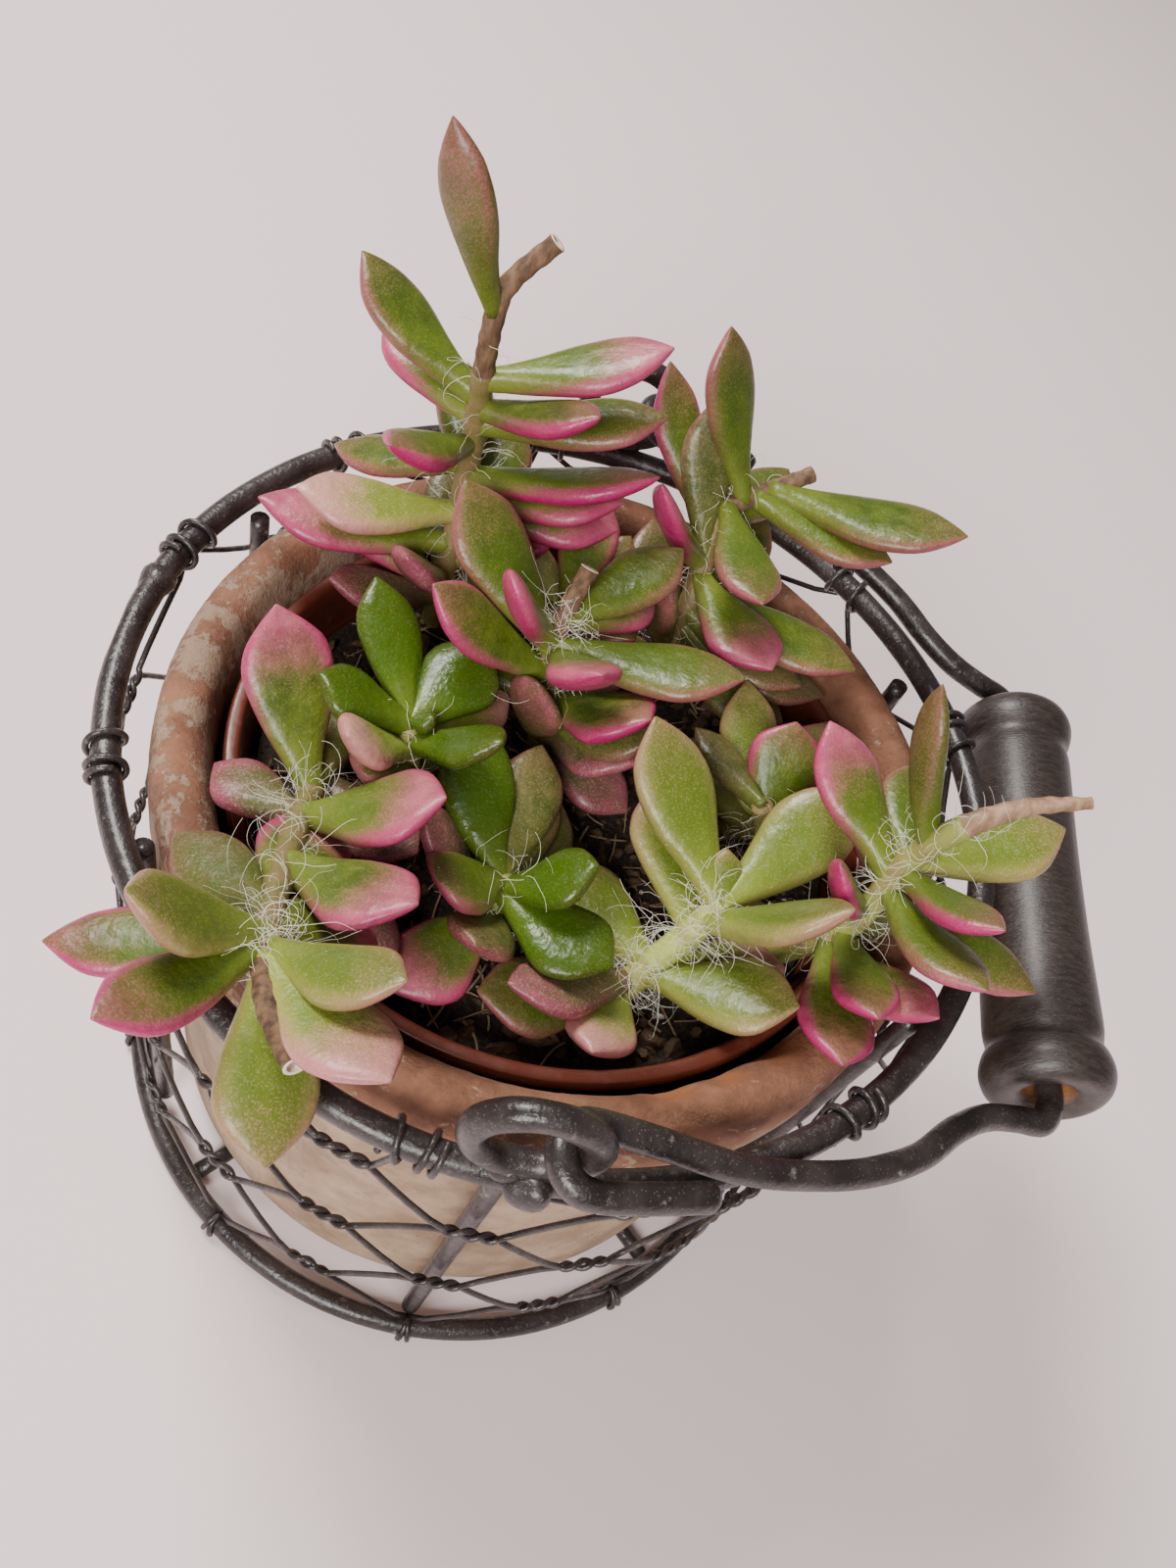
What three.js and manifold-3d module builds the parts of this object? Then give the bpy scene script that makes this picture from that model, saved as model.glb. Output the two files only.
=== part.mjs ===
// A leafy trailing succulent in a plastic nursery pot, set in a clay pot, held by a wire basket
// with a swinging bail handle and a turned grip. Millimetres, +Z up.
// The origin is on the floor, under the middle of the basket. The handle's hinge line runs
// along Y through the two eyes, and the folded handle lies towards +X.

import * as THREE from 'three';
import { mergeVertices } from 'three/addons/utils/BufferGeometryUtils.js';
import Module from 'manifold-3d';

const wasm = await Module();
wasm.setup();

// Basket frame
const WIRE = 4.4;
const GAP = 0.3;
const RIM_RADIUS = 70;
const RIM_Z = 101;
const FOOT_RADIUS = 65.5;
const FOOT_Z = (WIRE / 2) * Math.cos(Math.PI / 8);
const RING_STEPS = 30;
const POST_WIRE = 3.4;
const POST_INSET = 3.05;
const POST_COUNT = 6;
const POST_FIRST = 30;
const POST_LIFT = 0.6;
const CROSS_WIRE = 3.4;
const CROSS_TURNS = [45, 135];
const CROSS_REACH = 62.8;
const CROSS_Z = (CROSS_WIRE / 2) * Math.cos(Math.PI / 8);
const WELD_SIZE = [2.6, 3.6, 2.6];
const WELD_TURN = 170;

// Netting
const NET_WIRE = 1.3;
const NET_SIDES = 3;
const TWIST_RISE = 0.75;
const TWIST_LIFTS = [1.05, -0.35];
const JOINED_ROW = 2;
const TWIST_LENGTH = 8;
const NET_COLUMNS = 10;
const NET_ROWS = [87, 71, 55, 39, 23];
const NET_FIRST = 252;
const WRAP_RADIUS = 3.5;
const WRAP_ANGLES = [250, 190, 130, 70, 10, -45, -90];
const WRAP_SLIP = 1.6;
const HOOK_ANGLES = [80, 45, 10, -20];
const WRAP_TURNS = [259, 312, 342, 18, 48, 101, 132, 162, 198, 228];

// Eyes and handle
const EYE_WIRE = 4.3;
const EYE_MEAN = 7.9;
const EYE_Y = RIM_RADIUS;
const EYE_Z = RIM_Z + WIRE / 2 + GAP + EYE_MEAN + EYE_WIRE / 2;
const BEAD_SIZE = [3.4, 2.8, 2.8];
const BEAD_SHIFT = [1.6, 2.4, 2.6];
const BAIL_TILT = 14.5;
const BAIL_STEPS = 60;
const HOOK_RADIUS = 4.75;
const HOOK_END = [[26, 70], [17, 72.6]];
const BAIL_SIDE = [
  [18, 65.3], [30, 65.2], [42, 62.8], [51, 59.8], [60, 55], [67, 48.9], [73, 45.3], [79.5, 43.6], [84.6, 42.6],
  [86.5, 39], [86.5, 34],
];
const GRIP_REACH = 86.5;
const GRIP_STEPS = 18;
const GRIP_SIDE = [
  [2.8, 33.6], [5, 38], [8.2, 38.6], [10.2, 36.6], [10.6, 34.4], [10, 31.6], [9.2, 30], [9.5, 27], [9.2, 14],
];
const GRIP_MIDDLE = [9, 0];

// Pots and soil
const CLAY_FOOT = 2 * CROSS_Z + GAP;
const CLAY_WALL = [
  [6, CLAY_FOOT], [55.4, CLAY_FOOT], [57, 5.6], [60.3, 78], [61.6, 79.6], [64, 82], [64.4, 92], [63.6, 97.2],
  [60.4, 99.5], [57, 98.4], [55, 94], [49, 12], [6, 12],
];
const NURSERY_WALL = [
  [5, 12.3], [39.6, 12.3], [51, 90.6], [53.5, 91], [53.5, 94], [51, 94], [49.8, 90], [38.4, 13.5], [5, 13.5],
];
const POT_STEPS = 24;
const SOIL_WALL = [[0, 13.8], [38, 13.8]];
const SOIL_TOP = 85;
const SOIL_RINGS = [48.7, 38, 26, 13, 0];
const SOIL_BUMP = 0.7;
const ROOT_DEPTH = 10;
const HOLE_CLEARANCE = 0.4;

// Leaves
const LEAF_SIDES = 6;
const LEAF_STEPS = [0, 0.3, 0.64, 0.87, 1];
const LEAF_WIDTHS = [0, 0.58, 1, 0.66, 0];
const BLUNT_WIDTHS = [0, 0.72, 1, 0.92, 0];
const LEAF_HEIGHTS = [0, 1, 0.95, 0.6, 0];
const LEAF_THICK = 3.2;
const LEAF_SAG = 0.05;
const STEM_SIDES = 6;
const STEM_STEP = 7;

// Every stem: the points it passes through from the soil up, its radius, and its leaves, each as
// [distance along the stem, turn about Z, lift, length, width, roll], in mm and degrees.
// A leaf with a seventh value, true, is a blunt one.
const STEMS = {
  back_left_stem: {
    path: [[-26, 33, 86.5], [-26, 30, 99], [-26, 34, 112], [-27, 36, 129], [-28, 34, 148], [-27, 36, 154],
      [-22, 38, 161]],
    radius: 1.9,
    leaves: [
      [65, 177, 67, 28, 8, 70], [48, 153, 25, 27, 11, 0], [44, 137, 1, 24, 10, 0], [39, -122, 28, 24, 10, 0],
      [46, -32, 33, 24, 10, 0], [52, 9, 24, 29, 11, 0], [43, 5, 18, 30, 11, 0], [33, -8, 25, 32, 11, -15],
      [28, 2, 4, 26, 11, 0], [30, -1, 15, 26, 11, 0], [26, -162, 8, 27, 12, 0], [20, -174, 4, 32, 12, 0],
      [36, 161, -26, 26, 10, 0], [13, -118, 48, 20, 10, 0], [11, 160, 18, 22, 10, 0], [8, -150, 22, 22, 10, 0],
      [12, 95, 20, 24, 11, 0], [23, 75, 15, 24, 11, 0], [32, 100, 10, 24, 10, 0], [17, 20, 25, 20, 10, 0],
    ],
  },
  back_right_stem: {
    path: [[13, 31, 86.5], [16, 34, 103], [17, 45, 115], [20, 47, 118], [31, 53, 123]],
    radius: 1.9,
    leaves: [
      [39, 145, 61, 30, 10, -15], [30, 127, 37, 30, 9, -10], [44, -15, 15, 34, 13, 0], [41, -19, 3, 26, 11, 0],
      [36, -77, 9, 26, 11, 0], [25, -157, 54, 24, 9, 5], [23, -58, 8, 24, 13, 5], [21, -20, 2, 31, 12, 0],
      [17, -25, -2, 24, 11, 0], [26, 110, 53, 27, 10, 0], [19, 60, 10, 24, 11, 0], [11, 110, 20, 22, 11, 0],
      [32, 55, 4, 22, 10, 0],
      [14, -11, -6, 29, 12, 0], [10, -27, -3, 25, 12, 0], [9, -151, 71, 22, 11, 0],
    ],
  },
  middle_stem: {
    path: [[-4, 10, 86.5], [-5, 7, 101], [-7, 9, 111], [-7, 12, 116], [-5, 17, 123]],
    radius: 1.9,
    leaves: [
      [27, -6, 13, 30, 12, 0], [27, -160, 57, 20, 9, 0], [21, -174, 37, 27, 11, -5], [26, 143, 33, 29, 13, 0],
      [25, -70, 44, 22, 11, 0], [16, -37, 39, 22, 14, 0], [6, -38, 34, 22, 12, 0], [31, 46, -12, 22, 11, 0],
      [31, 44, 14, 24, 11, 0], [13, 139, 13, 20, 11, 0], [11, 60, 15, 20, 11, 0],
      [10, -30, 37, 23, 12, 0], [6, -121, 67, 22, 11, 0], [8, -34, -9, 20, 11, 0],
    ],
  },
  left_rosette_stem: {
    path: [[-24, 1, 86.5], [-24, -9, 96], [-26, -7, 106]],
    radius: 1.8,
    leaves: [
      [24, 117, 20, 24, 10, 0], [24, 58, 14, 18, 13, 0], [24, 179, 25, 16, 11, 5], [24, -23, 56, 6, 4, 0],
      [22, 48, -9, 21, 11, 0], [21, -34, 48, 22, 10, 5], [19, -133, 47, 20, 10, 0],
      [16, -122, 41, 16, 11, -10], [14, 64, 4, 24, 11, -5], [8, -159, 52, 20, 11, -10],
    ],
  },
  front_left_stem: {
    path: [[-34, 2, 86.5], [-37, -13, 96], [-38, -26, 103], [-38, -43, 111], [-37, -53, 115], [-35, -61, 117],
      [-30, -69, 119]],
    radius: 2,
    leaves: [
      [25, 120, 39, 28, 14, 0], [32, -4, 38, 24, 14, 0], [32, 150, -14, 17, 10, 5], [26, 92, -2, 24, 11, 0],
      [50, 78, -30, 20, 13, 0, true], [44, -28, 32, 24, 13, 0], [60, -154, 45, 24, 11, 0], [60, -172, -15, 28, 10, 0],
      [62, -130, 23, 26, 10, 0], [60, 44, -35, 20, 12, 0, true], [62, -26, 38, 24, 10, 0], [64, -75, -20, 25, 13, 0],
      [64, -44, 22, 26, 13, -5], [57, 139, -20, 22, 10, 0],
      [19, -33, 7, 20, 12, 0], [39, -33, -29, 25, 12, 0],
    ],
  },
  front_rosette_stem: {
    path: [[-6, -14, 86.5], [-7, -28, 93], [-8, -25, 100]],
    radius: 1.8,
    leaves: [
      [22, 113, 22, 24, 12, 0], [22, 84, 10, 24, 11, 5], [21, 1, 44, 17, 10, 0], [22, -146, 33, 14, 11, 0, true],
      [21, -31, 9, 21, 13, 0], [20, 79, 1, 22, 11, 0], [18, -130, -13, 20, 13, -5], [15, -105, 39, 16, 11, 0],
      [14, 74, 9, 22, 12, 0], [10, 176, 47, 22, 11, 0],
    ],
  },
  front_right_stem: {
    path: [[15, -31, 86.5], [15, -33, 89], [20, -29, 97], [25, -25, 105]],
    radius: 2.3,
    leaves: [
      [23, 127, 28, 30, 13, 0], [17, 112, 18, 24, 13, 0], [23, 47, 25, 28, 13, 0], [20, -25, 54, 27, 12, -15],
      [9, 133, -4, 22, 13, 0], [4, -162, 4, 24, 13, 0], [7, -18, 29, 25, 13, 0], [2, -108, 27, 19, 11, 5],
      [23, 97, 34, 9, 5, 0],
      [9, 11, 1, 22, 12, 0], [5, -154, 22, 24, 11, 15],
    ],
  },
  right_low_stem: {
    path: [[30, 2, 86.5], [33, -4, 97], [31, -4, 103]],
    radius: 1.8,
    leaves: [
      [9, 101, 20, 26, 10, -10], [19, 130, -4, 18, 7, 0], [13, 86, 43, 18, 13, 0], [10, 120, -10, 22, 11, 0],
      [13, 65, 1, 28, 11, 0], [16, 0, 30, 20, 10, 0], [5, 20, 20, 20, 11, 0],
      [15, 76, 8, 19, 13, -10], [8, 70, -13, 18, 10, 0], [5, -11, 40, 23, 11, 5],
    ],
  },
  right_stem: {
    path: [[40, -20, 86.5], [45, -23, 103], [48, -20, 120], [51, -20, 130], [58, -18, 135], [66, -17, 138]],
    radius: 2,
    leaves: [
      [30, 128, 24, 25, 11, 0], [39, 127, 58, 25, 8, 70], [33, 82, 0, 20, 10, 0], [34, 21, 13, 25, 12, 0],
      [32, -62, 38, 22, 8, 0], [28, -66, 27, 25, 10, 0], [28, -27, 0, 26, 10, 0], [22, -161, 55, 19, 8, 0],
      [16, -88, 30, 23, 10, 10], [13, -93, 19, 27, 12, 0], [9, -56, 38, 28, 9, 15], [28, 105, -3, 22, 7, 0],
      [21, 60, 10, 21, 10, 0], [14, 40, 15, 19, 11, 0],
    ],
  },
  centre_back_stem: {
    path: [[-6, 27, 86.5], [-4, 28, 95], [-5, 27, 103]],
    radius: 1.8,
    leaves: [
      [17, 80, 30, 20, 10, 0], [14, -139, 42, 20, 10, 15], [11, -11, -1, 19, 11, 0], [16, -47, 31, 18, 9, -5],
      [7, 120, 15, 22, 11, 0], [9, 47, -2, 22, 11, 0], [5, -130, 20, 18, 10, 0],
      [8, 64, 32, 22, 11, 5], [5, 152, 14, 28, 11, 0],
    ],
  },
};

const FINISHES = {
  iron: new THREE.MeshStandardMaterial({ color: 0x3a3332, roughness: 0.42, metalness: 0.6 }),
  net: new THREE.MeshStandardMaterial({ color: 0x40393a, roughness: 0.5, metalness: 0.6 }),
  grip: new THREE.MeshStandardMaterial({ color: 0x38302e, roughness: 0.5, metalness: 0.1 }),
  clay: new THREE.MeshStandardMaterial({ color: 0xa8664a, roughness: 0.9, metalness: 0 }),
  nursery: new THREE.MeshStandardMaterial({ color: 0x8a3020, roughness: 0.35, metalness: 0 }),
  soil: new THREE.MeshStandardMaterial({ color: 0x2a1f18, roughness: 1, metalness: 0 }),
  leaf: new THREE.MeshStandardMaterial({ color: 0x5f7f2f, roughness: 0.4, metalness: 0 }),
  young: new THREE.MeshStandardMaterial({ color: 0x4f8a1f, roughness: 0.3, metalness: 0 }),
};
const YOUNG_STEMS = ['left_rosette_stem', 'front_rosette_stem'];

const part = new THREE.Group();

function asSolid(geometry) {
  const bare = geometry.clone();
  bare.deleteAttribute('normal');
  bare.deleteAttribute('uv');
  const merged = mergeVertices(bare, 1e-3);
  const index = merged.getIndex().array;
  const triangles = [];
  for (let i = 0; i < index.length; i += 3) {
    const [a, b, c] = [index[i], index[i + 1], index[i + 2]];
    if (a !== b && b !== c && c !== a) triangles.push(a, b, c);
  }
  return new wasm.Manifold(new wasm.Mesh({
    numProp: 3,
    vertProperties: new Float32Array(merged.getAttribute('position').array),
    triVerts: new Uint32Array(triangles),
  }));
}

function asGeometry(solid) {
  const mesh = solid.getMesh();
  const geometry = new THREE.BufferGeometry();
  geometry.setAttribute('position', new THREE.BufferAttribute(new Float32Array(mesh.vertProperties), 3));
  geometry.setIndex(new THREE.BufferAttribute(new Uint32Array(mesh.triVerts), 1));
  geometry.computeVertexNormals();
  return geometry;
}

function join(solids) {
  return solids.reduce((whole, next) => whole.add(next));
}

function addPiece(name, geometry, finish, parent = part) {
  const mesh = new THREE.Mesh(geometry, finish);
  mesh.name = name;
  parent.add(mesh);
  return mesh;
}

function polar(radius, degrees, z) {
  const angle = THREE.MathUtils.degToRad(degrees);
  return new THREE.Vector3(radius * Math.cos(angle), radius * Math.sin(angle), z);
}

// A straight round rod between two points. A level one can be turned to have a flat side down.
function rod(from, to, radius, sides, flatDown = false) {
  const span = new THREE.Vector3().subVectors(to, from);
  const geometry = new THREE.CylinderGeometry(radius, radius, span.length(), sides);
  if (flatDown) geometry.rotateY(Math.PI / sides);
  const turn = new THREE.Quaternion().setFromUnitVectors(new THREE.Vector3(0, 1, 0), span.clone().normalize());
  geometry.applyQuaternion(turn);
  const middle = new THREE.Vector3().addVectors(from, to).multiplyScalar(0.5);
  geometry.translate(middle.x, middle.y, middle.z);
  return geometry;
}

// A round wire that follows a curve
function bentWire(curve, radius, sides, steps) {
  const section = new THREE.Shape();
  for (let i = 0; i < sides; i += 1) {
    const angle = (2 * Math.PI * i) / sides;
    const move = i === 0 ? 'moveTo' : 'lineTo';
    section[move](radius * Math.cos(angle), radius * Math.sin(angle));
  }
  return new THREE.ExtrudeGeometry(section, { steps, bevelEnabled: false, extrudePath: curve });
}

// A body turned about Z from a closed outline of [radius, height] points
function turned(outline, steps) {
  const points = outline.map(([radius, height]) => new THREE.Vector2(radius, height));
  points.push(points[0].clone());
  const geometry = new THREE.LatheGeometry(points, steps);
  geometry.rotateX(Math.PI / 2);
  return geometry;
}

function ring(radius, z, steps) {
  const outline = [];
  for (let i = 0; i < 8; i += 1) {
    const angle = (2 * Math.PI * (i + 0.5)) / 8;
    outline.push([radius + (WIRE / 2) * Math.cos(angle), z + (WIRE / 2) * Math.sin(angle)]);
  }
  return turned(outline, steps);
}

// The radius of the basket's side at a height, on the line between its two rings
function sideRadius(z) {
  return THREE.MathUtils.mapLinear(z, FOOT_Z, RIM_Z, FOOT_RADIUS, RIM_RADIUS);
}

function makeFrame() {
  const weldLump = new THREE.SphereGeometry(1, 8, 5);
  weldLump.scale(...WELD_SIZE);
  weldLump.rotateZ(THREE.MathUtils.degToRad(WELD_TURN));
  weldLump.translate(...polar(RIM_RADIUS, WELD_TURN, RIM_Z).toArray());
  const rim = asSolid(ring(RIM_RADIUS, RIM_Z, RING_STEPS)).add(asSolid(weldLump));
  addPiece('rim_ring', asGeometry(rim), FINISHES.iron);
  addPiece('foot_ring', ring(FOOT_RADIUS, FOOT_Z, RING_STEPS), FINISHES.iron);
  const low = FOOT_Z + WIRE / 2 + POST_LIFT;
  const high = RIM_Z - WIRE / 2 - GAP;
  for (let i = 0; i < POST_COUNT; i += 1) {
    const turn = POST_FIRST + (360 / POST_COUNT) * i;
    const foot = polar(sideRadius(low) - POST_INSET, turn, low);
    const head = polar(sideRadius(high) - POST_INSET, turn, high);
    addPiece(`post_${i + 1}`, rod(foot, head, POST_WIRE / 2, 8), FINISHES.iron);
  }
  const bars = CROSS_TURNS.map((turn) => asSolid(
    rod(polar(CROSS_REACH, turn, CROSS_Z), polar(CROSS_REACH, turn + 180, CROSS_Z), CROSS_WIRE / 2, 8, true),
  ));
  addPiece('base_cross', asGeometry(join(bars)), FINISHES.iron);
}

// A curve with exact corners at its points
class Polyline extends THREE.Curve {
  constructor(points) {
    super();
    this.points = points;
  }

  getPoint(t, target = new THREE.Vector3()) {
    const place = t * (this.points.length - 1);
    const index = Math.min(Math.floor(place + 1e-6), this.points.length - 2);
    return target.lerpVectors(this.points[index], this.points[index + 1], place - index);
  }

  getPointAt(u, target) {
    return this.getPoint(u, target);
  }

  getTangentAt(u, target = new THREE.Vector3()) {
    const last = this.points.length - 1;
    const index = Math.round(u * last);
    const here = this.points[index];
    const into = new THREE.Vector3().subVectors(here, this.points[Math.max(index - 1, 0)]).normalize();
    const out = new THREE.Vector3().subVectors(this.points[Math.min(index + 1, last)], here).normalize();
    return target.addVectors(into, out).normalize();
  }
}

// Twisted hexagonal netting of 20 wires. Half of them run down to the right and half to the left,
// and two cross in each level twist. Their ends hook round the two rings.
function makeNetting() {
  const solids = [];
  const pitch = 360 / NET_COLUMNS;
  const twistHalf = THREE.MathUtils.radToDeg(TWIST_LENGTH / 2 / sideRadius(RIM_Z / 2));
  const roundRing = (radius, z, turn, degrees) => {
    const angle = THREE.MathUtils.degToRad(degrees);
    return polar(radius + WRAP_RADIUS * Math.cos(angle), turn, z + WRAP_RADIUS * Math.sin(angle));
  };
  const halfway = (from, to) => {
    const middle = new THREE.Vector3().addVectors(from, to).multiplyScalar(0.5);
    const stretch = sideRadius(middle.z) / Math.hypot(middle.x, middle.y);
    return new THREE.Vector3(middle.x * stretch, middle.y * stretch, middle.z);
  };
  for (let column = 0; column < NET_COLUMNS; column += 1) {
    for (const side of [1, -1]) {
      const wrapTurn = WRAP_TURNS[(column + (side > 0 ? NET_COLUMNS - 1 : 0)) % NET_COLUMNS];
      const points = [];
      if (side > 0) {
        WRAP_ANGLES.forEach((degrees, i) => {
          const slip = WRAP_SLIP * (1 - i / (WRAP_ANGLES.length - 1));
          points.push(roundRing(RIM_RADIUS, RIM_Z, wrapTurn + slip, degrees));
        });
      } else {
        points.push(roundRing(RIM_RADIUS, RIM_Z, wrapTurn, WRAP_ANGLES.at(-1)));
      }
      NET_ROWS.forEach((z, row) => {
        const turn = NET_FIRST + pitch * (column + (side * row) / 2);
        if (row === 0) points.push(halfway(points.at(-1), polar(sideRadius(z), turn - side * twistHalf, z)));
        const lift = row === JOINED_ROW ? 0 : TWIST_LIFTS[side > 0 ? 0 : 1];
        for (const end of [-1, 1]) {
          points.push(polar(sideRadius(z) + lift, turn + end * side * twistHalf, z - end * TWIST_RISE));
        }
      });
      const hookTurn = NET_FIRST + pitch * (column + (side * NET_ROWS.length) / 2);
      const angles = side > 0 ? HOOK_ANGLES : HOOK_ANGLES.slice(0, 1);
      angles.forEach((degrees) => points.push(roundRing(FOOT_RADIUS, FOOT_Z, hookTurn, degrees)));
      solids.push(asSolid(bentWire(new Polyline(points), NET_WIRE / 2, NET_SIDES, points.length - 1)));
    }
  }
  addPiece('netting', asGeometry(join(solids)), FINISHES.net);
}

function makeEye(name, side) {
  const hoop = new THREE.TorusGeometry(EYE_MEAN, EYE_WIRE / 2, 8, 16);
  hoop.rotateX(Math.PI / 2);
  hoop.translate(0, side * EYE_Y, EYE_Z);
  const bead = new THREE.SphereGeometry(1, 8, 6);
  bead.scale(...BEAD_SIZE);
  bead.translate(BEAD_SHIFT[0], side * (EYE_Y + BEAD_SHIFT[1]), RIM_Z + BEAD_SHIFT[2]);
  const clearance = new THREE.TorusGeometry(RIM_RADIUS, WIRE / 2 + GAP, 8, 64);
  clearance.translate(0, 0, RIM_Z);
  const solid = asSolid(hoop).add(asSolid(bead)).subtract(asSolid(clearance));
  addPiece(name, asGeometry(solid), FINISHES.iron);
}

// One half of the handle's wire, from its hooked end round the eye and along the side to the grip
function bailHalf(side) {
  const points = [...HOOK_END];
  for (let degrees = 90; degrees <= 270; degrees += 30) {
    const angle = THREE.MathUtils.degToRad(degrees);
    points.push([EYE_MEAN + HOOK_RADIUS * Math.cos(angle), EYE_Y + HOOK_RADIUS * Math.sin(angle)]);
  }
  points.push(...BAIL_SIDE);
  return points.map(([reach, across]) => new THREE.Vector3(reach, side * across, 0));
}

function makeHandle() {
  const handle = new THREE.Group();
  handle.position.set(0, 0, EYE_Z);
  handle.rotation.y = THREE.MathUtils.degToRad(BAIL_TILT);
  part.add(handle);
  const route = [...bailHalf(-1), new THREE.Vector3(GRIP_REACH, 0, 0), ...bailHalf(1).reverse()];
  const curve = new THREE.CatmullRomCurve3(route, false, 'centripetal');
  addPiece('bail_wire', bentWire(curve, WIRE / 2, 8, BAIL_STEPS), FINISHES.iron, handle);
  const outline = [
    ...GRIP_SIDE,
    GRIP_MIDDLE,
    ...GRIP_SIDE.map(([radius, along]) => [radius, -along]).reverse(),
  ];
  const points = outline.map(([radius, along]) => new THREE.Vector2(radius, along)).reverse();
  points.push(points[0].clone());
  const grip = new THREE.LatheGeometry(points, GRIP_STEPS);
  grip.translate(GRIP_REACH, 0, 0);
  addPiece('grip', grip, FINISHES.grip, handle);
}

function makePots() {
  addPiece('clay_pot', turned(CLAY_WALL, POT_STEPS), FINISHES.clay);
  addPiece('nursery_pot', turned(NURSERY_WALL, POT_STEPS), FINISHES.nursery);
}

function soilHeight(x, y) {
  return SOIL_TOP + SOIL_BUMP * Math.sin(x / 4.1 + 0.6) * Math.cos(y / 3.3);
}

function makeSoil(holes) {
  const outline = [...SOIL_WALL, ...SOIL_RINGS.map((radius) => [radius, SOIL_TOP])];
  const points = outline.map(([radius, z]) => new THREE.Vector2(radius, z));
  const geometry = new THREE.LatheGeometry(points, POT_STEPS);
  geometry.rotateX(Math.PI / 2);
  const position = geometry.getAttribute('position');
  for (let i = 0; i < position.count; i += 1) {
    const radius = Math.hypot(position.getX(i), position.getY(i));
    if (position.getZ(i) > SOIL_TOP - 1 && radius < SOIL_RINGS[0] - 1) {
      position.setZ(i, soilHeight(position.getX(i), position.getY(i)));
    }
  }
  const soil = holes.reduce((whole, hole) => whole.subtract(hole), asSolid(geometry));
  addPiece('soil', asGeometry(soil), FINISHES.soil);
}

// A fleshy leaf: a six-sided ball drawn out along the leaf, flat above and rounder below
function leafGeometry(root, [, turn, lift, length, width, roll, blunt]) {
  const rows = LEAF_STEPS.length - 1;
  const geometry = new THREE.SphereGeometry(1, LEAF_SIDES, rows);
  const [a, b, c] = [turn, lift, roll].map(THREE.MathUtils.degToRad);
  const along = new THREE.Vector3(Math.cos(a) * Math.cos(b), Math.sin(a) * Math.cos(b), Math.sin(b));
  const up = new THREE.Vector3(0, 0, 1).addScaledVector(along, -along.z).normalize().applyAxisAngle(along, c);
  const across = new THREE.Vector3().crossVectors(along, up);
  const widths = blunt ? BLUNT_WIDTHS : LEAF_WIDTHS;
  const position = geometry.getAttribute('position');
  for (let i = 0; i < position.count; i += 1) {
    const row = Math.round((Math.acos(-position.getY(i)) / Math.PI) * rows);
    const t = LEAF_STEPS[row];
    const size = Math.hypot(position.getX(i), position.getZ(i)) || 1;
    const side = (position.getX(i) / size) * (width / 2) * widths[row];
    const face = position.getZ(i) / size;
    const rise = face * LEAF_THICK * LEAF_HEIGHTS[row] * (face > 0 ? 0.42 : 0.58);
    const sag = LEAF_SAG * length * 4 * t * (1 - t);
    const place = root.clone().addScaledVector(along, t * length);
    place.addScaledVector(across, side).addScaledVector(up, rise - sag);
    position.setXYZ(i, place.x, place.y, place.z);
  }
  return geometry;
}

function makeStems() {
  const holes = [];
  for (const [name, { path, radius, leaves }] of Object.entries(STEMS)) {
    const points = path.map((point) => new THREE.Vector3(...point));
    const curve = new THREE.CatmullRomCurve3(points, false, 'catmullrom');
    const length = curve.getLength();
    const foot = points[0];
    const rootEnd = new THREE.Vector3(foot.x, foot.y, SOIL_TOP - ROOT_DEPTH);
    const knee = foot.clone().add(new THREE.Vector3(0, 0, 1));
    const solids = [asSolid(rod(rootEnd, knee, radius, STEM_SIDES))];
    solids.push(asSolid(bentWire(curve, radius, STEM_SIDES, Math.ceil(length / STEM_STEP))));
    for (const leaf of leaves) {
      const root = curve.getPointAt(Math.min(leaf[0], length - 0.5) / length);
      solids.push(asSolid(leafGeometry(root, leaf)));
    }
    const finish = YOUNG_STEMS.includes(name) ? FINISHES.young : FINISHES.leaf;
    addPiece(name, asGeometry(join(solids)), finish);
    const holeRadius = radius + HOLE_CLEARANCE;
    const holeEnd = new THREE.Vector3(foot.x, foot.y, SOIL_TOP - ROOT_DEPTH - GAP);
    const holeTop = new THREE.Vector3(foot.x, foot.y, SOIL_TOP + 2 * SOIL_BUMP + 1);
    holes.push(asSolid(rod(holeEnd, holeTop, holeRadius, STEM_SIDES)));
  }
  return holes;
}

makeFrame();
makeNetting();
makeEye('eye_front', -1);
makeEye('eye_back', 1);
makeHandle();
makePots();
makeSoil(makeStems());

export default part;
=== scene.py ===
import math

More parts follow.
